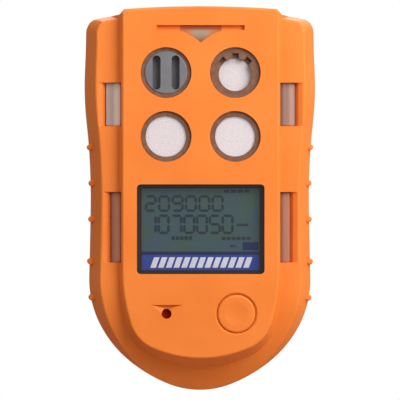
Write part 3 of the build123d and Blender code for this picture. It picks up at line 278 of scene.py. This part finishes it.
def lcd_panel(name):
    """Grey-green liquid crystal glass, bluer in clouds, with faint stripes in its gloss."""
    finish = Finish(name, (0.048, 0.085, 0.078), roughness=0.3)
    finish.tint(finish.noise(9 * MM, detail=1), (0.064, 0.116, 0.098), (0.060, 0.110, 0.150))
    stripes = finish.add("ShaderNodeTexWave", bands_direction="DIAGONAL")
    stripes.inputs["Scale"].default_value = LCD_STRIPE_SCALE
    finish.link(finish.place, stripes.inputs["Vector"])
    finish.gloss(stripes.outputs["Fac"], low=0.25, high=0.38)
    return finish.material


LENS_UPPER_FROM = 0.4  # the change between the lower and the upper window, as shares of the height
LENS_UPPER_AT = 0.7
LENS_RIB_SCALE = 125.0  # ribs about 2.5 mm apart
LENS_RIB_WOBBLE = 0.6
LENS_RELIEF = 0.12 * MM


def frosted_lens(name, node, lower, upper, painted_shade):
    """Frosted light pipe: one colour in each window, multiplied by painted shade and light, darker at
    the left and lighter at the right.
    """
    finish = Finish(name, lower, roughness=0.35)
    low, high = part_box(node)
    split = finish.add("ShaderNodeSeparateXYZ")
    finish.link(finish.place, split.inputs["Vector"])
    height = finish.share_of(split.outputs["Z"], low.z, high.z)
    across = finish.share_of(split.outputs["X"], low.x, high.x, interpolation_type="SMOOTHSTEP")
    windows = finish.ramp(height, [(LENS_UPPER_FROM, lower), (LENS_UPPER_AT, upper)])
    # Painted shade: the window colours are darkened towards the left and lightened towards the right.
    colour = finish.mix(1.0, windows, finish.ramp(across, painted_shade), "MULTIPLY")
    finish.link(colour, finish.shader.inputs["Base Color"])
    ribs = finish.add("ShaderNodeTexWave", bands_direction="X", wave_profile="SIN")
    ribs.inputs["Scale"].default_value = LENS_RIB_SCALE
    ribs.inputs["Distortion"].default_value = LENS_RIB_WOBBLE
    finish.link(finish.place, ribs.inputs["Vector"])
    finish.bump(ribs.outputs["Fac"], LENS_RELIEF)
    return finish.material


STATUS_HALF_WIDTH = 7.1 * MM
STATUS_ACROSS = (  # colours from the middle outwards, as shares of the half width
    (0.0, (0.33, 0.26, 0.19)),
    (0.25, (0.36, 0.26, 0.19)),
    (0.75, (0.55, 0.15, 0.03)),
)
STATUS_SHADES = (  # the height where each shade starts, where it is full, and its colour
    (125.4, 122.6, (0.24, 0.10, 0.03)),
    (126.65, 127.15, (0.52, 0.11, 0.035)),
)


def tinted_status(name):
    """Frosted status lens: grey at its middle, orange outwards and along its top, brown at its tip."""
    finish = Finish(name, (0.5, 0.4, 0.3), roughness=0.3)
    split = finish.add("ShaderNodeSeparateXYZ")
    finish.link(finish.place, split.inputs["Vector"])
    away = finish.add("ShaderNodeMath", operation="ABSOLUTE")
    finish.link(split.outputs["X"], away.inputs[0])
    share = finish.share_of(away.outputs["Value"], 0.0, STATUS_HALF_WIDTH)
    colour = finish.ramp(share, STATUS_ACROSS)
    for start, stop, shade in STATUS_SHADES:
        rise = finish.share_of(split.outputs["Z"], level(start), level(stop))
        colour = finish.mix(rise, colour, (*shade, 1.0))
    finish.link(colour, finish.shader.inputs["Base Color"])
    finish.bump(finish.noise(0.5 * MM), depth=0.02 * MM)
    return finish.material


ORANGE_LOW = (0.80, 0.202, 0.029)
ORANGE_HIGH = (0.85, 0.228, 0.038)
LEFT_WINDOWS = ((0.42, 0.20, 0.13), (0.62, 0.57, 0.53))  # the lower window's colour and the upper one's
# Painted shade and light across each lens, from left to right: places as shares of its width, and
# factors on its colour.
LEFT_PAINTED_SHADE = ((0.32, (0.72, 0.62, 0.60)), (0.68, (1.50, 1.60, 1.55)))
RIGHT_WINDOWS = ((0.50, 0.25, 0.17), (0.37, 0.26, 0.22))
RIGHT_PAINTED_SHADE = ((0.15, (0.45, 0.40, 0.37)), (0.8, (1.05, 0.95, 0.90)))

HOUSING = moulded_orange("housing_orange", ORANGE_LOW, ORANGE_HIGH)
BUTTON = moulded_orange("button_orange", ORANGE_LOW, ORANGE_HIGH)
SEAL = dark_rubber("seal_rubber", (0.02, 0.02, 0.022))
# The gaskets are black rubber; the brown lift in their colour is a painted reflection of the orange
# housing.
GASKET = dark_rubber("gasket_rubber", (0.155, 0.075, 0.043))
WINDOW = clear_window("display_window_clear", (0.92, 0.93, 0.92), 0.04)
LEFT_LENS = frosted_lens("left_lens_frosted", "left_alarm_lens", *LEFT_WINDOWS, LEFT_PAINTED_SHADE)
RIGHT_LENS = frosted_lens("right_lens_frosted", "right_alarm_lens", *RIGHT_WINDOWS, RIGHT_PAINTED_SHADE)
STATUS = tinted_status("status_lens_frosted")
INK_BLACK = printed_ink("mask_black", (0.018, 0.010, 0.012))
INK_BLUE = printed_ink("band_blue", (0.026, 0.062, 0.36))
INK_BLUE_DARK = printed_ink("band_navy", (0.010, 0.018, 0.10))
INK_GREY = printed_ink("label_ink", (0.05, 0.05, 0.055))
INK_WHITE = printed_ink("marks_white", (0.78, 0.78, 1.0))
LCD = lcd_panel("lcd_back")
SEGMENT = printed_ink("lcd_segment", (0.017, 0.034, 0.052), 0.3)
MESH = sounder_weave("mesh_dark", (0.26, 0.013, 0.001))
WHITE_PLASTIC = plain_plastic("white_plastic", (0.78, 0.78, 0.75))
BLACK_PLASTIC = plain_plastic("frame_plastic", (0.02, 0.02, 0.021))
CAP = plain_plastic("cap_grey", (0.145, 0.145, 0.155), 0.5)
SENSOR = plain_plastic("sensor_grey", (0.12, 0.12, 0.13))
BOARD = plain_plastic("board_green", (0.012, 0.09, 0.035), 0.3)
COMPONENT = plain_plastic("component_black", (0.015, 0.015, 0.015), 0.5)
LED = plain_plastic("led_body", (0.75, 0.72, 0.6), 0.15)
FLEX = plain_plastic("flex_film", (0.40, 0.15, 0.02), 0.25)
MEMBRANE = membrane_white("filter_white")
STEEL = brushed_steel("clip_steel", "Z")
STEEL_TURNED = machined_metal("screw_steel", (0.58, 0.58, 0.59), 0.3)
BRASS = machined_metal("brass", (0.75, 0.55, 0.22), 0.3)
GOLD = machined_metal("contact_gold", (0.95, 0.68, 0.25), 0.2)
BATTERY = plain_plastic("battery_film", (0.02, 0.06, 0.25), 0.2)
LEADS = plain_plastic("wire_red", (0.5, 0.02, 0.015))
LABEL = plain_plastic("label_film", (0.62, 0.62, 0.60), 0.4)

NODE_FINISHES = {
    HOUSING: ("front_cover", "rear_cover"),
    BUTTON: ("operator_button",),
    SEAL: ("perimeter_seal",),
    GASKET: ("sensor_gaskets", "sounder_gasket"),
    WINDOW: ("display_window",),
    LEFT_LENS: ("left_alarm_lens",),
    RIGHT_LENS: ("right_alarm_lens",),
    STATUS: ("status_lens",),
    LCD: ("lcd_glass",),
    WHITE_PLASTIC: ("backlight_guide",),
    BLACK_PLASTIC: (
        "lcd_frame",
        "sensor_carrier",
        "battery_tray",
        "contact_block",
        "battery_plug",
        "switch_body",
        "sounder",
        "lcd_connectors",
    ),
    BOARD: ("main_board", "sensor_board"),
    COMPONENT: ("board_components", "switch_plunger"),
    LED: ("alarm_leds", "status_led"),
    FLEX: ("board_link",),
    MEMBRANE: ("sensor_filters",),
    CAP: ("flammable_sensor_cap",),
    SENSOR: ("oxygen_sensor", "carbon_monoxide_sensor", "hydrogen_sulphide_sensor", "flammable_sensor"),
    STEEL: ("clip_base", "clip_lever"),
    STEEL_TURNED: (
        "case_screws",
        "board_screws",
        "clip_pin",
        "clip_spring",
        "clip_screws",
        "vibration_motor",
        "motor_bracket",
        "vibration_weight",
    ),
    MESH: ("sounder_mesh",),
    BRASS: ("threaded_inserts", "sensor_sockets"),
    GOLD: ("charging_contacts",),
    BATTERY: ("battery_cell",),
    LEADS: ("battery_leads",),
    LABEL: ("rating_label",),
}


def dress_nodes():
    """Gives every CAD node its material."""
    for material, names in NODE_FINISHES.items():
        for name in names:
            for slot in nodes[name].material_slots:
                slot.material = material


# --- Mesh helpers -------------------------------------------------------------------------


def new_piece(name, mesh_data, material, body):
    """Turns a bmesh into a piece that rides on a body."""
    mesh = bpy.data.meshes.new(name)
    mesh_data.to_mesh(mesh)
    mesh_data.free()
    piece = bpy.data.objects.new(name, mesh)
    bpy.context.scene.collection.objects.link(piece)
    mesh.materials.append(material)
    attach(piece, body)
    return piece


def plate(name, outlines, front, back, material, body):
    """Flat closed plates in the front view: outlines are lists of (x, z), counter-clockwise."""
    mesh = bmesh.new()
    for outline in outlines:
        face = mesh.faces.new([mesh.verts.new((x, back, z)) for x, z in outline])
        grown = bmesh.ops.extrude_face_region(mesh, geom=[face])["geom"]
        moved = [item for item in grown if isinstance(item, bmesh.types.BMVert)]
        bmesh.ops.translate(mesh, verts=moved, vec=(0, front - back, 0))
    bmesh.ops.recalc_face_normals(mesh, faces=mesh.faces)
    return new_piece(name, mesh, material, body)


CORNER_STEPS = 5


def rounded_box(x, z, width, tall, radius):
    """The outline of a rounded rectangle about a middle point."""
    outline = []
    corners = ((1, 1, 0), (-1, 1, 90), (-1, -1, 180), (1, -1, 270))
    for side, end, start in corners:
        middle_x = x + side * (width / 2 - radius)
        middle_z = z + end * (tall / 2 - radius)
        for step in range(CORNER_STEPS + 1):
            angle = math.radians(start + 90 * step / CORNER_STEPS)
            outline.append((middle_x + radius * math.cos(angle), middle_z + radius * math.sin(angle)))
    return outline


# --- Display ------------------------------------------------------------------------------

SEGMENTS_ON = {
    "0": "abcdef",
    "1": "bc",
    "2": "abged",
    "3": "abgcd",
    "4": "fgbc",
    "5": "afgcd",
    "6": "afgedc",
    "7": "abc",
    "8": "abcdefg",
    "9": "abcdfg",
}
SEGMENT_WIDTH = 0.95 * MM
SEGMENT_GAP = 0.12 * MM


def bar(start, stop, width):
    """A display segment between two points: a strip with pointed ends."""
    along = Vector(stop) - Vector(start)
    way = along.normalized()
    side = Vector((-way.y, way.x)) * width / 2
    nose = way * width / 2
    points = (
        Vector(start),
        Vector(start) + nose - side,
        Vector(stop) - nose - side,
        Vector(stop),
        Vector(stop) - nose + side,
        Vector(start) + nose + side,
    )
    return [(point.x, point.y) for point in points]


def digit(shape, x, z, width, tall):
    """The lit segments of one figure whose lower left corner is at x, z."""
    gap = SEGMENT_GAP
    low, middle, high = z, z + tall / 2, z + tall
    left, right = x, x + width
    places = {
        "a": ((left + gap, high), (right - gap, high)),
        "b": ((right, high - gap), (right, middle + gap)),
        "c": ((right, middle - gap), (right, low + gap)),
        "d": ((left + gap, low), (right - gap, low)),
        "e": ((left, middle - gap), (left, low + gap)),
        "f": ((left, high - gap), (left, middle + gap)),
        "g": ((left + gap, middle), (right - gap, middle)),
    }
    return [bar(*places[segment], SEGMENT_WIDTH) for segment in SEGMENTS_ON[shape]]


def figure_row(figures, x, z, width, tall, pitch):
    """A row of figures from its left end."""
    outlines = []
    for place, shape in enumerate(figures):
        outlines += digit(shape, x + place * pitch, z, width, tall)
    return outlines


SIGN_CORNER = 0.2 * MM


def small_signs(signs):
    """Small rounded signs from (left, bottom, width, height, count, pitch) in mm."""
    outlines = []
    for left, bottom, width, tall, count, pitch in signs:
        for place in range(count):
            middle_x = (left + place * pitch + width / 2) * MM
            middle_z = level(bottom + tall / 2)
            outlines.append(rounded_box(middle_x, middle_z, width * MM, tall * MM, SIGN_CORNER))
    return outlines


FIGURES_LEFT = -19.2 * MM
FIGURE_WIDTH = 3.4 * MM
FIGURE_ROWS = (("209000", 63.2, 5.0, 4.7), ("1070050", 55.4, 6.0, 4.5))  # figures, bottom, height, pitch
INK_THIN = 0.02 * MM
INK_THICK = 0.03 * MM
SMALL_SIGNS = (
    (8.2, 69.5, 1.9, 1.1, 4, 2.4),
    (-10.2, 52.9, 1.2, 1.3, 5, 1.5),
    (7.4, 52.9, 1.4, 1.1, 6, 1.75),
    (12.6, 57.8, 4.2, 0.8, 1, 0.0),
    (10.2, 50.4, 2.2, 0.7, 1, 0.0),
)
BATTERY_SIGN = (14.8, 49.3, 5.6, 2.8, 1, 0.0)


def display_content():
    """Figures and small signs that lie on the front of the LCD glass."""
    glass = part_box("lcd_glass")[0].y
    outlines = small_signs(SMALL_SIGNS)
    for figures, bottom, tall, pitch in FIGURE_ROWS:
        outlines += figure_row(figures, FIGURES_LEFT, level(bottom), FIGURE_WIDTH, tall * MM, pitch * MM)
    front = glass - INK_THICK
    plate("lcd_figures", outlines, front, glass, SEGMENT, "housing")
    sign = small_signs([BATTERY_SIGN])
    plate("lcd_battery_sign", sign, front, glass, INK_BLUE_DARK, "housing")


MARK_COUNT = 13
MARK_PITCH = 2.72 * MM
MARK_SIZE = (1.95 * MM, 3.7 * MM)
MARK_LEAN = 0.18  # of its height, to each side
MARKS_MIDDLE = 0.3 * MM


def slanted_mark(x, z):
    """A leaning stroke of the printed band's pattern."""
    width, tall = MARK_SIZE
    lean = MARK_LEAN * tall
    return [
        (x - width / 2 - lean, z - tall / 2),
        (x + width / 2 - lean, z - tall / 2),
        (x + width / 2 + lean, z + tall / 2),
        (x - width / 2 + lean, z + tall / 2),
    ]


VIEW_HALF_WIDTH = 20.7 * MM
VIEW_BOTTOM = 48.8
VIEW_TOP = 71.0
BAND_BOTTOM = 42.3
BAND_TOP = 47.7
BAND_CORNER = 0.5 * MM
BAND_EDGE = 1.0 * MM
BAND_EDGE_CORNER = 0.3 * MM
FILM = 0.1 * MM


def display_print():
    """The printed film behind the window: black border, blue band and a row of strokes."""
    low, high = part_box("display_mask")
    left, right, bottom, top = -VIEW_HALF_WIDTH, VIEW_HALF_WIDTH, level(VIEW_BOTTOM), level(VIEW_TOP)
    border = [
        [(low.x, low.z), (high.x, low.z), (high.x, bottom), (low.x, bottom)],
        [(low.x, top), (high.x, top), (high.x, high.z), (low.x, high.z)],
        [(low.x, bottom), (left, bottom), (left, top), (low.x, top)],
        [(right, bottom), (high.x, bottom), (high.x, top), (right, top)],
    ]
    front = high.y - FILM
    film = plate("display_border", border, front, high.y, INK_BLACK, "housing")
    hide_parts("display_mask")
    edge_middle = level((BAND_TOP + VIEW_BOTTOM) / 2)
    edge = [rounded_box(0, edge_middle, right - left, BAND_EDGE, BAND_EDGE_CORNER)]
    plate("display_band_edge", edge, front - INK_THIN, front, INK_BLUE_DARK, "housing")
    band_middle = level((BAND_BOTTOM + BAND_TOP) / 2)
    band = [rounded_box(0, band_middle, right - left, (BAND_TOP - BAND_BOTTOM) * MM, BAND_CORNER)]
    ink = front - INK_THICK
    plate("display_band", band, ink, front, INK_BLUE, "housing")
    start = MARKS_MIDDLE - (MARK_COUNT - 1) / 2 * MARK_PITCH
    marks = [slanted_mark(start + place * MARK_PITCH, band_middle) for place in range(MARK_COUNT)]
    plate("display_marks", marks, ink - INK_THICK, ink, INK_WHITE, "housing")


# --- Rating label -------------------------------------------------------------------------

LABEL_FRAME = 0.25 * MM
LABEL_MARGIN = 1.6 * MM
LABEL_ROWS = ((0.78, 0.50), (0.68, 0.62), (0.58, 0.38), (0.48, 0.56), (0.38, 0.30))  # height, length
LABEL_INDENT = 2.0 * MM
LABEL_RULE = 0.7 * MM
LABEL_RULE_CORNER = 0.2 * MM
LABEL_BARS = 22
LABEL_BAR_PITCH = 0.75 * MM
LABEL_BAR_WIDTH = 0.22 * MM
LABEL_BAR_STEP = 0.13 * MM  # the bars come in three widths
LABEL_BAR_HEIGHT = 3.2 * MM
LABEL_BAR_CORNER = 0.05 * MM
LABEL_BARS_AT = 0.16


def label_print():
    """A frame, plain rules instead of lines of text, and a row of bars, on the rating label."""
    low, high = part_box("rating_label")
    left, right = low.x + LABEL_MARGIN, high.x - LABEL_MARGIN
    bottom, top = low.z + LABEL_MARGIN, high.z - LABEL_MARGIN
    width, tall = right - left, top - bottom
    middle_x, middle_z = (left + right) / 2, (bottom + top) / 2
    outlines = [
        rounded_box(middle_x, bottom, width, LABEL_FRAME, LABEL_FRAME / 3),
        rounded_box(middle_x, top, width, LABEL_FRAME, LABEL_FRAME / 3),
        rounded_box(left, middle_z, LABEL_FRAME, tall, LABEL_FRAME / 3),
        rounded_box(right, middle_z, LABEL_FRAME, tall, LABEL_FRAME / 3),
    ]
    start = right - LABEL_INDENT
    for share, length in LABEL_ROWS:
        reach = length * width
        rule_x, rule_z = start - reach / 2, bottom + share * tall
        outlines.append(rounded_box(rule_x, rule_z, reach, LABEL_RULE, LABEL_RULE_CORNER))
    bars_z = bottom + LABEL_BARS_AT * tall
    for place in range(LABEL_BARS):
        bar_x = start - place * LABEL_BAR_PITCH
        bar_width = LABEL_BAR_WIDTH + LABEL_BAR_STEP * (place * 7 % 3)
        outlines.append(rounded_box(bar_x, bars_z, bar_width, LABEL_BAR_HEIGHT, LABEL_BAR_CORNER))
    plate("label_print", outlines, high.y, high.y + INK_THIN, INK_GREY, "housing")


# --- Clip spring --------------------------------------------------------------------------


WIRE_RADIUS = 0.4 * MM
WIRE_SIDES = 10


def spring_wire(name, path, body):
    """A round steel wire along a path, closed flat at both ends."""
    mesh = bmesh.new()
    rings = []
    normal = None
    for place, point in enumerate(path):
        before = path[max(place - 1, 0)]
        after = path[min(place + 1, len(path) - 1)]
        along = (after - before).normalized()
        if normal is None:
            normal = along.orthogonal().normalized()
        normal = (normal - along * normal.dot(along)).normalized()
        across = along.cross(normal)
        ring = []
        for side in range(WIRE_SIDES):
            angle = 2 * math.pi * side / WIRE_SIDES
            offset = normal * math.cos(angle) + across * math.sin(angle)
            ring.append(mesh.verts.new(point + offset * WIRE_RADIUS))
        rings.append(ring)
    for ring, following in zip(rings, rings[1:]):
        for side in range(WIRE_SIDES):
            beside = (side + 1) % WIRE_SIDES
            mesh.faces.new((ring[side], ring[beside], following[beside], following[side]))
    mesh.faces.new(rings[0])
    mesh.faces.new(rings[-1])
    bmesh.ops.recalc_face_normals(mesh, faces=mesh.faces)
    for face in mesh.faces:
        face.smooth = len(face.verts) == 4
    return new_piece(name, mesh, STEEL_TURNED, body)


COIL_RADIUS = 2.3 * MM
COIL_HALF = 5.0 * MM
COIL_TURNS = 7
TURN_STEPS = 28
ARM_BEND = 1.2 * MM
BEND_STEPS = 6
LEVER_ARM_Y = FRONT_Y + 42.15 * MM
BASE_ARM_Y = FRONT_Y + 36.75 * MM
ARM_TOP = 109.0


def spring_arm(x, start, arm_y):
    """A straight arm's path: off the top of the coil, round a bend and upwards."""
    side = math.copysign(1.0, arm_y - start.y)
    corner = Vector((x, arm_y - side * ARM_BEND, start.z + ARM_BEND))
    path = [Vector((x, start.y, start.z))]
    for step in range(BEND_STEPS + 1):
        angle = math.radians(90 * step / BEND_STEPS)
        path.append(corner + Vector((0, side * math.sin(angle), -math.cos(angle))) * ARM_BEND)
    path.append(Vector((x, arm_y, level(ARM_TOP))))
    return path


def clip_spring():
    """The coil with its fixed arm stays with the base, the other arm swings with the lever."""
    low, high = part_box("clip_pin")
    pin = (low + high) / 2
    top = pin + Vector((0, 0, COIL_RADIUS))
    coil = []
    steps = COIL_TURNS * TURN_STEPS
    for step in range(steps + 1):
        angle = 2 * math.pi * step / TURN_STEPS
        x = -COIL_HALF + 2 * COIL_HALF * step / steps
        coil.append(pin + Vector((x, -COIL_RADIUS * math.sin(angle), COIL_RADIUS * math.cos(angle))))
    coil += spring_arm(COIL_HALF, top, BASE_ARM_Y)[1:]
    fixed = spring_wire("spring_coil", coil, "housing")
    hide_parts("clip_spring")
    lever_arm = spring_arm(-COIL_HALF, top, LEVER_ARM_Y)
    moving = spring_wire("spring_lever_arm", lever_arm, "clip_jaw")
    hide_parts("clip_spring")


# --- Stage, light and camera --------------------------------------------------------------


FLOOR_DROP = 0.9
FLOOR_HALF = 4.0
FLOOR_GLOW = 0.45


def make_floor():
    """A plain pale floor, well below the detector, which hangs from its clip."""
    mesh = bmesh.new()
    bmesh.ops.create_grid(mesh, x_segments=1, y_segments=1, size=FLOOR_HALF)
    data = bpy.data.meshes.new("floor")
    mesh.to_mesh(data)
    mesh.free()
    floor = bpy.data.objects.new("floor", data)
    floor.location = (0, 0, TIP_Z - FLOOR_DROP)
    bpy.context.scene.collection.objects.link(floor)
    pale = Finish("floor_pale", (0.82, 0.82, 0.81), roughness=0.8)
    pale.shader.inputs["Emission Color"].default_value = (1.0, 1.0, 0.99, 1.0)
    pale.shader.inputs["Emission Strength"].default_value = FLOOR_GLOW
    data.materials.append(pale.material)
    # The floor looks pale but throws no light upwards: the world does that.
    floor.visible_diffuse = False
    floor.visible_glossy = False


LIGHTS = (  # name, direction from the detector's middle, distance, size and power
    ("key", (0.65, -0.75, 0.62), 0.55, 0.43, 3.95),
    ("left", (-0.6, -0.6, 0.75), 0.9, 0.7, 1.8),
    ("low", (0.75, -0.45, -0.5), 0.9, 0.7, 1.2),
    ("rear", (0.15, 0.8, 0.6), 0.9, 0.7, 4.2),
)


def area_light(name, way, distance, size, power):
    """A square soft light in the direction way from the detector's middle, aimed at it."""
    light = bpy.data.lights.new(name, "AREA")
    light.size = size
    light.energy = power
    lamp = bpy.data.objects.new(name, light)
    direction = Vector(way).normalized()
    lamp.location = MIDDLE + direction * distance
    lamp.rotation_mode = "QUATERNION"
    lamp.rotation_quaternion = direction.to_track_quat("Z", "Y")
    bpy.context.scene.collection.objects.link(lamp)


WORLD_BELOW = 0.25
WORLD_ABOVE = 0.34
WARM_BELOW = (1.85, 1.1, 0.95)
WHITE = (1.0, 1.0, 1.0, 1.0)


def make_world():
    """White to the eye. As a light it is dim, and dimmer and a little warmer from below."""
    world = bpy.data.worlds.new("studio")
    bpy.context.scene.world = world
    world.use_nodes = True
    tree = world.node_tree
    link = tree.links.new
    way = tree.nodes.new("ShaderNodeTexCoord")
    split = tree.nodes.new("ShaderNodeSeparateXYZ")
    link(way.outputs["Generated"], split.inputs["Vector"])
    strength = tree.nodes.new("ShaderNodeMapRange")
    strength.inputs["From Min"].default_value = -1.0
    strength.inputs["To Min"].default_value = WORLD_BELOW
    strength.inputs["To Max"].default_value = WORLD_ABOVE
    link(split.outputs["Z"], strength.inputs["Value"])
    height = tree.nodes.new("ShaderNodeMapRange")
    height.inputs["From Min"].default_value = -1.0
    link(split.outputs["Z"], height.inputs["Value"])
    warmth = tree.nodes.new("ShaderNodeValToRGB")
    below, middle = warmth.color_ramp.elements
    below.color = (*WARM_BELOW, 1.0)
    middle.color = WHITE
    middle.position = 0.5
    link(height.outputs["Result"], warmth.inputs["Fac"])
    dim = tree.nodes["Background"]
    link(warmth.outputs["Color"], dim.inputs["Color"])
    link(strength.outputs["Result"], dim.inputs["Strength"])
    white = tree.nodes.new("ShaderNodeBackground")
    white.inputs["Color"].default_value = WHITE
    path = tree.nodes.new("ShaderNodeLightPath")
    mix = tree.nodes.new("ShaderNodeMixShader")
    link(path.outputs["Is Camera Ray"], mix.inputs["Fac"])
    link(dim.outputs["Background"], mix.inputs[1])
    link(white.outputs["Background"], mix.inputs[2])
    link(mix.outputs["Shader"], tree.nodes["World Output"].inputs["Surface"])


CAMERA_DISTANCE = 3.0
CAMERA_TURN = math.radians(-1.2)
VIEW_WIDTH = 0.1412  # what the picture takes in at the detector's middle
AIM_HEIGHT = 0.06695
AIM_SIDE = 0.1 * MM
SENSOR_WIDTH = 36.0


def make_camera():
    """A long lens in front, a little over a degree to the left."""
    data = bpy.data.cameras.new("camera")
    data.sensor_width = SENSOR_WIDTH
    data.lens = SENSOR_WIDTH * CAMERA_DISTANCE / VIEW_WIDTH
    camera = bpy.data.objects.new("camera", data)
    back = Vector((math.sin(CAMERA_TURN), -math.cos(CAMERA_TURN), 0))
    aim = Vector((AIM_SIDE, MIDDLE.y, TIP_Z + AIM_HEIGHT))
    camera.location = aim + back * CAMERA_DISTANCE
    camera.rotation_mode = "QUATERNION"
    camera.rotation_quaternion = back.to_track_quat("Z", "Y")
    bpy.context.scene.collection.objects.link(camera)
    bpy.context.scene.camera = camera


make_camera()
make_world()
for light in LIGHTS:
    area_light(*light)
make_floor()
bpy.context.scene.view_settings.view_transform = "Standard"

dress_nodes()
display_content()
display_print()
label_print()
clip_spring()
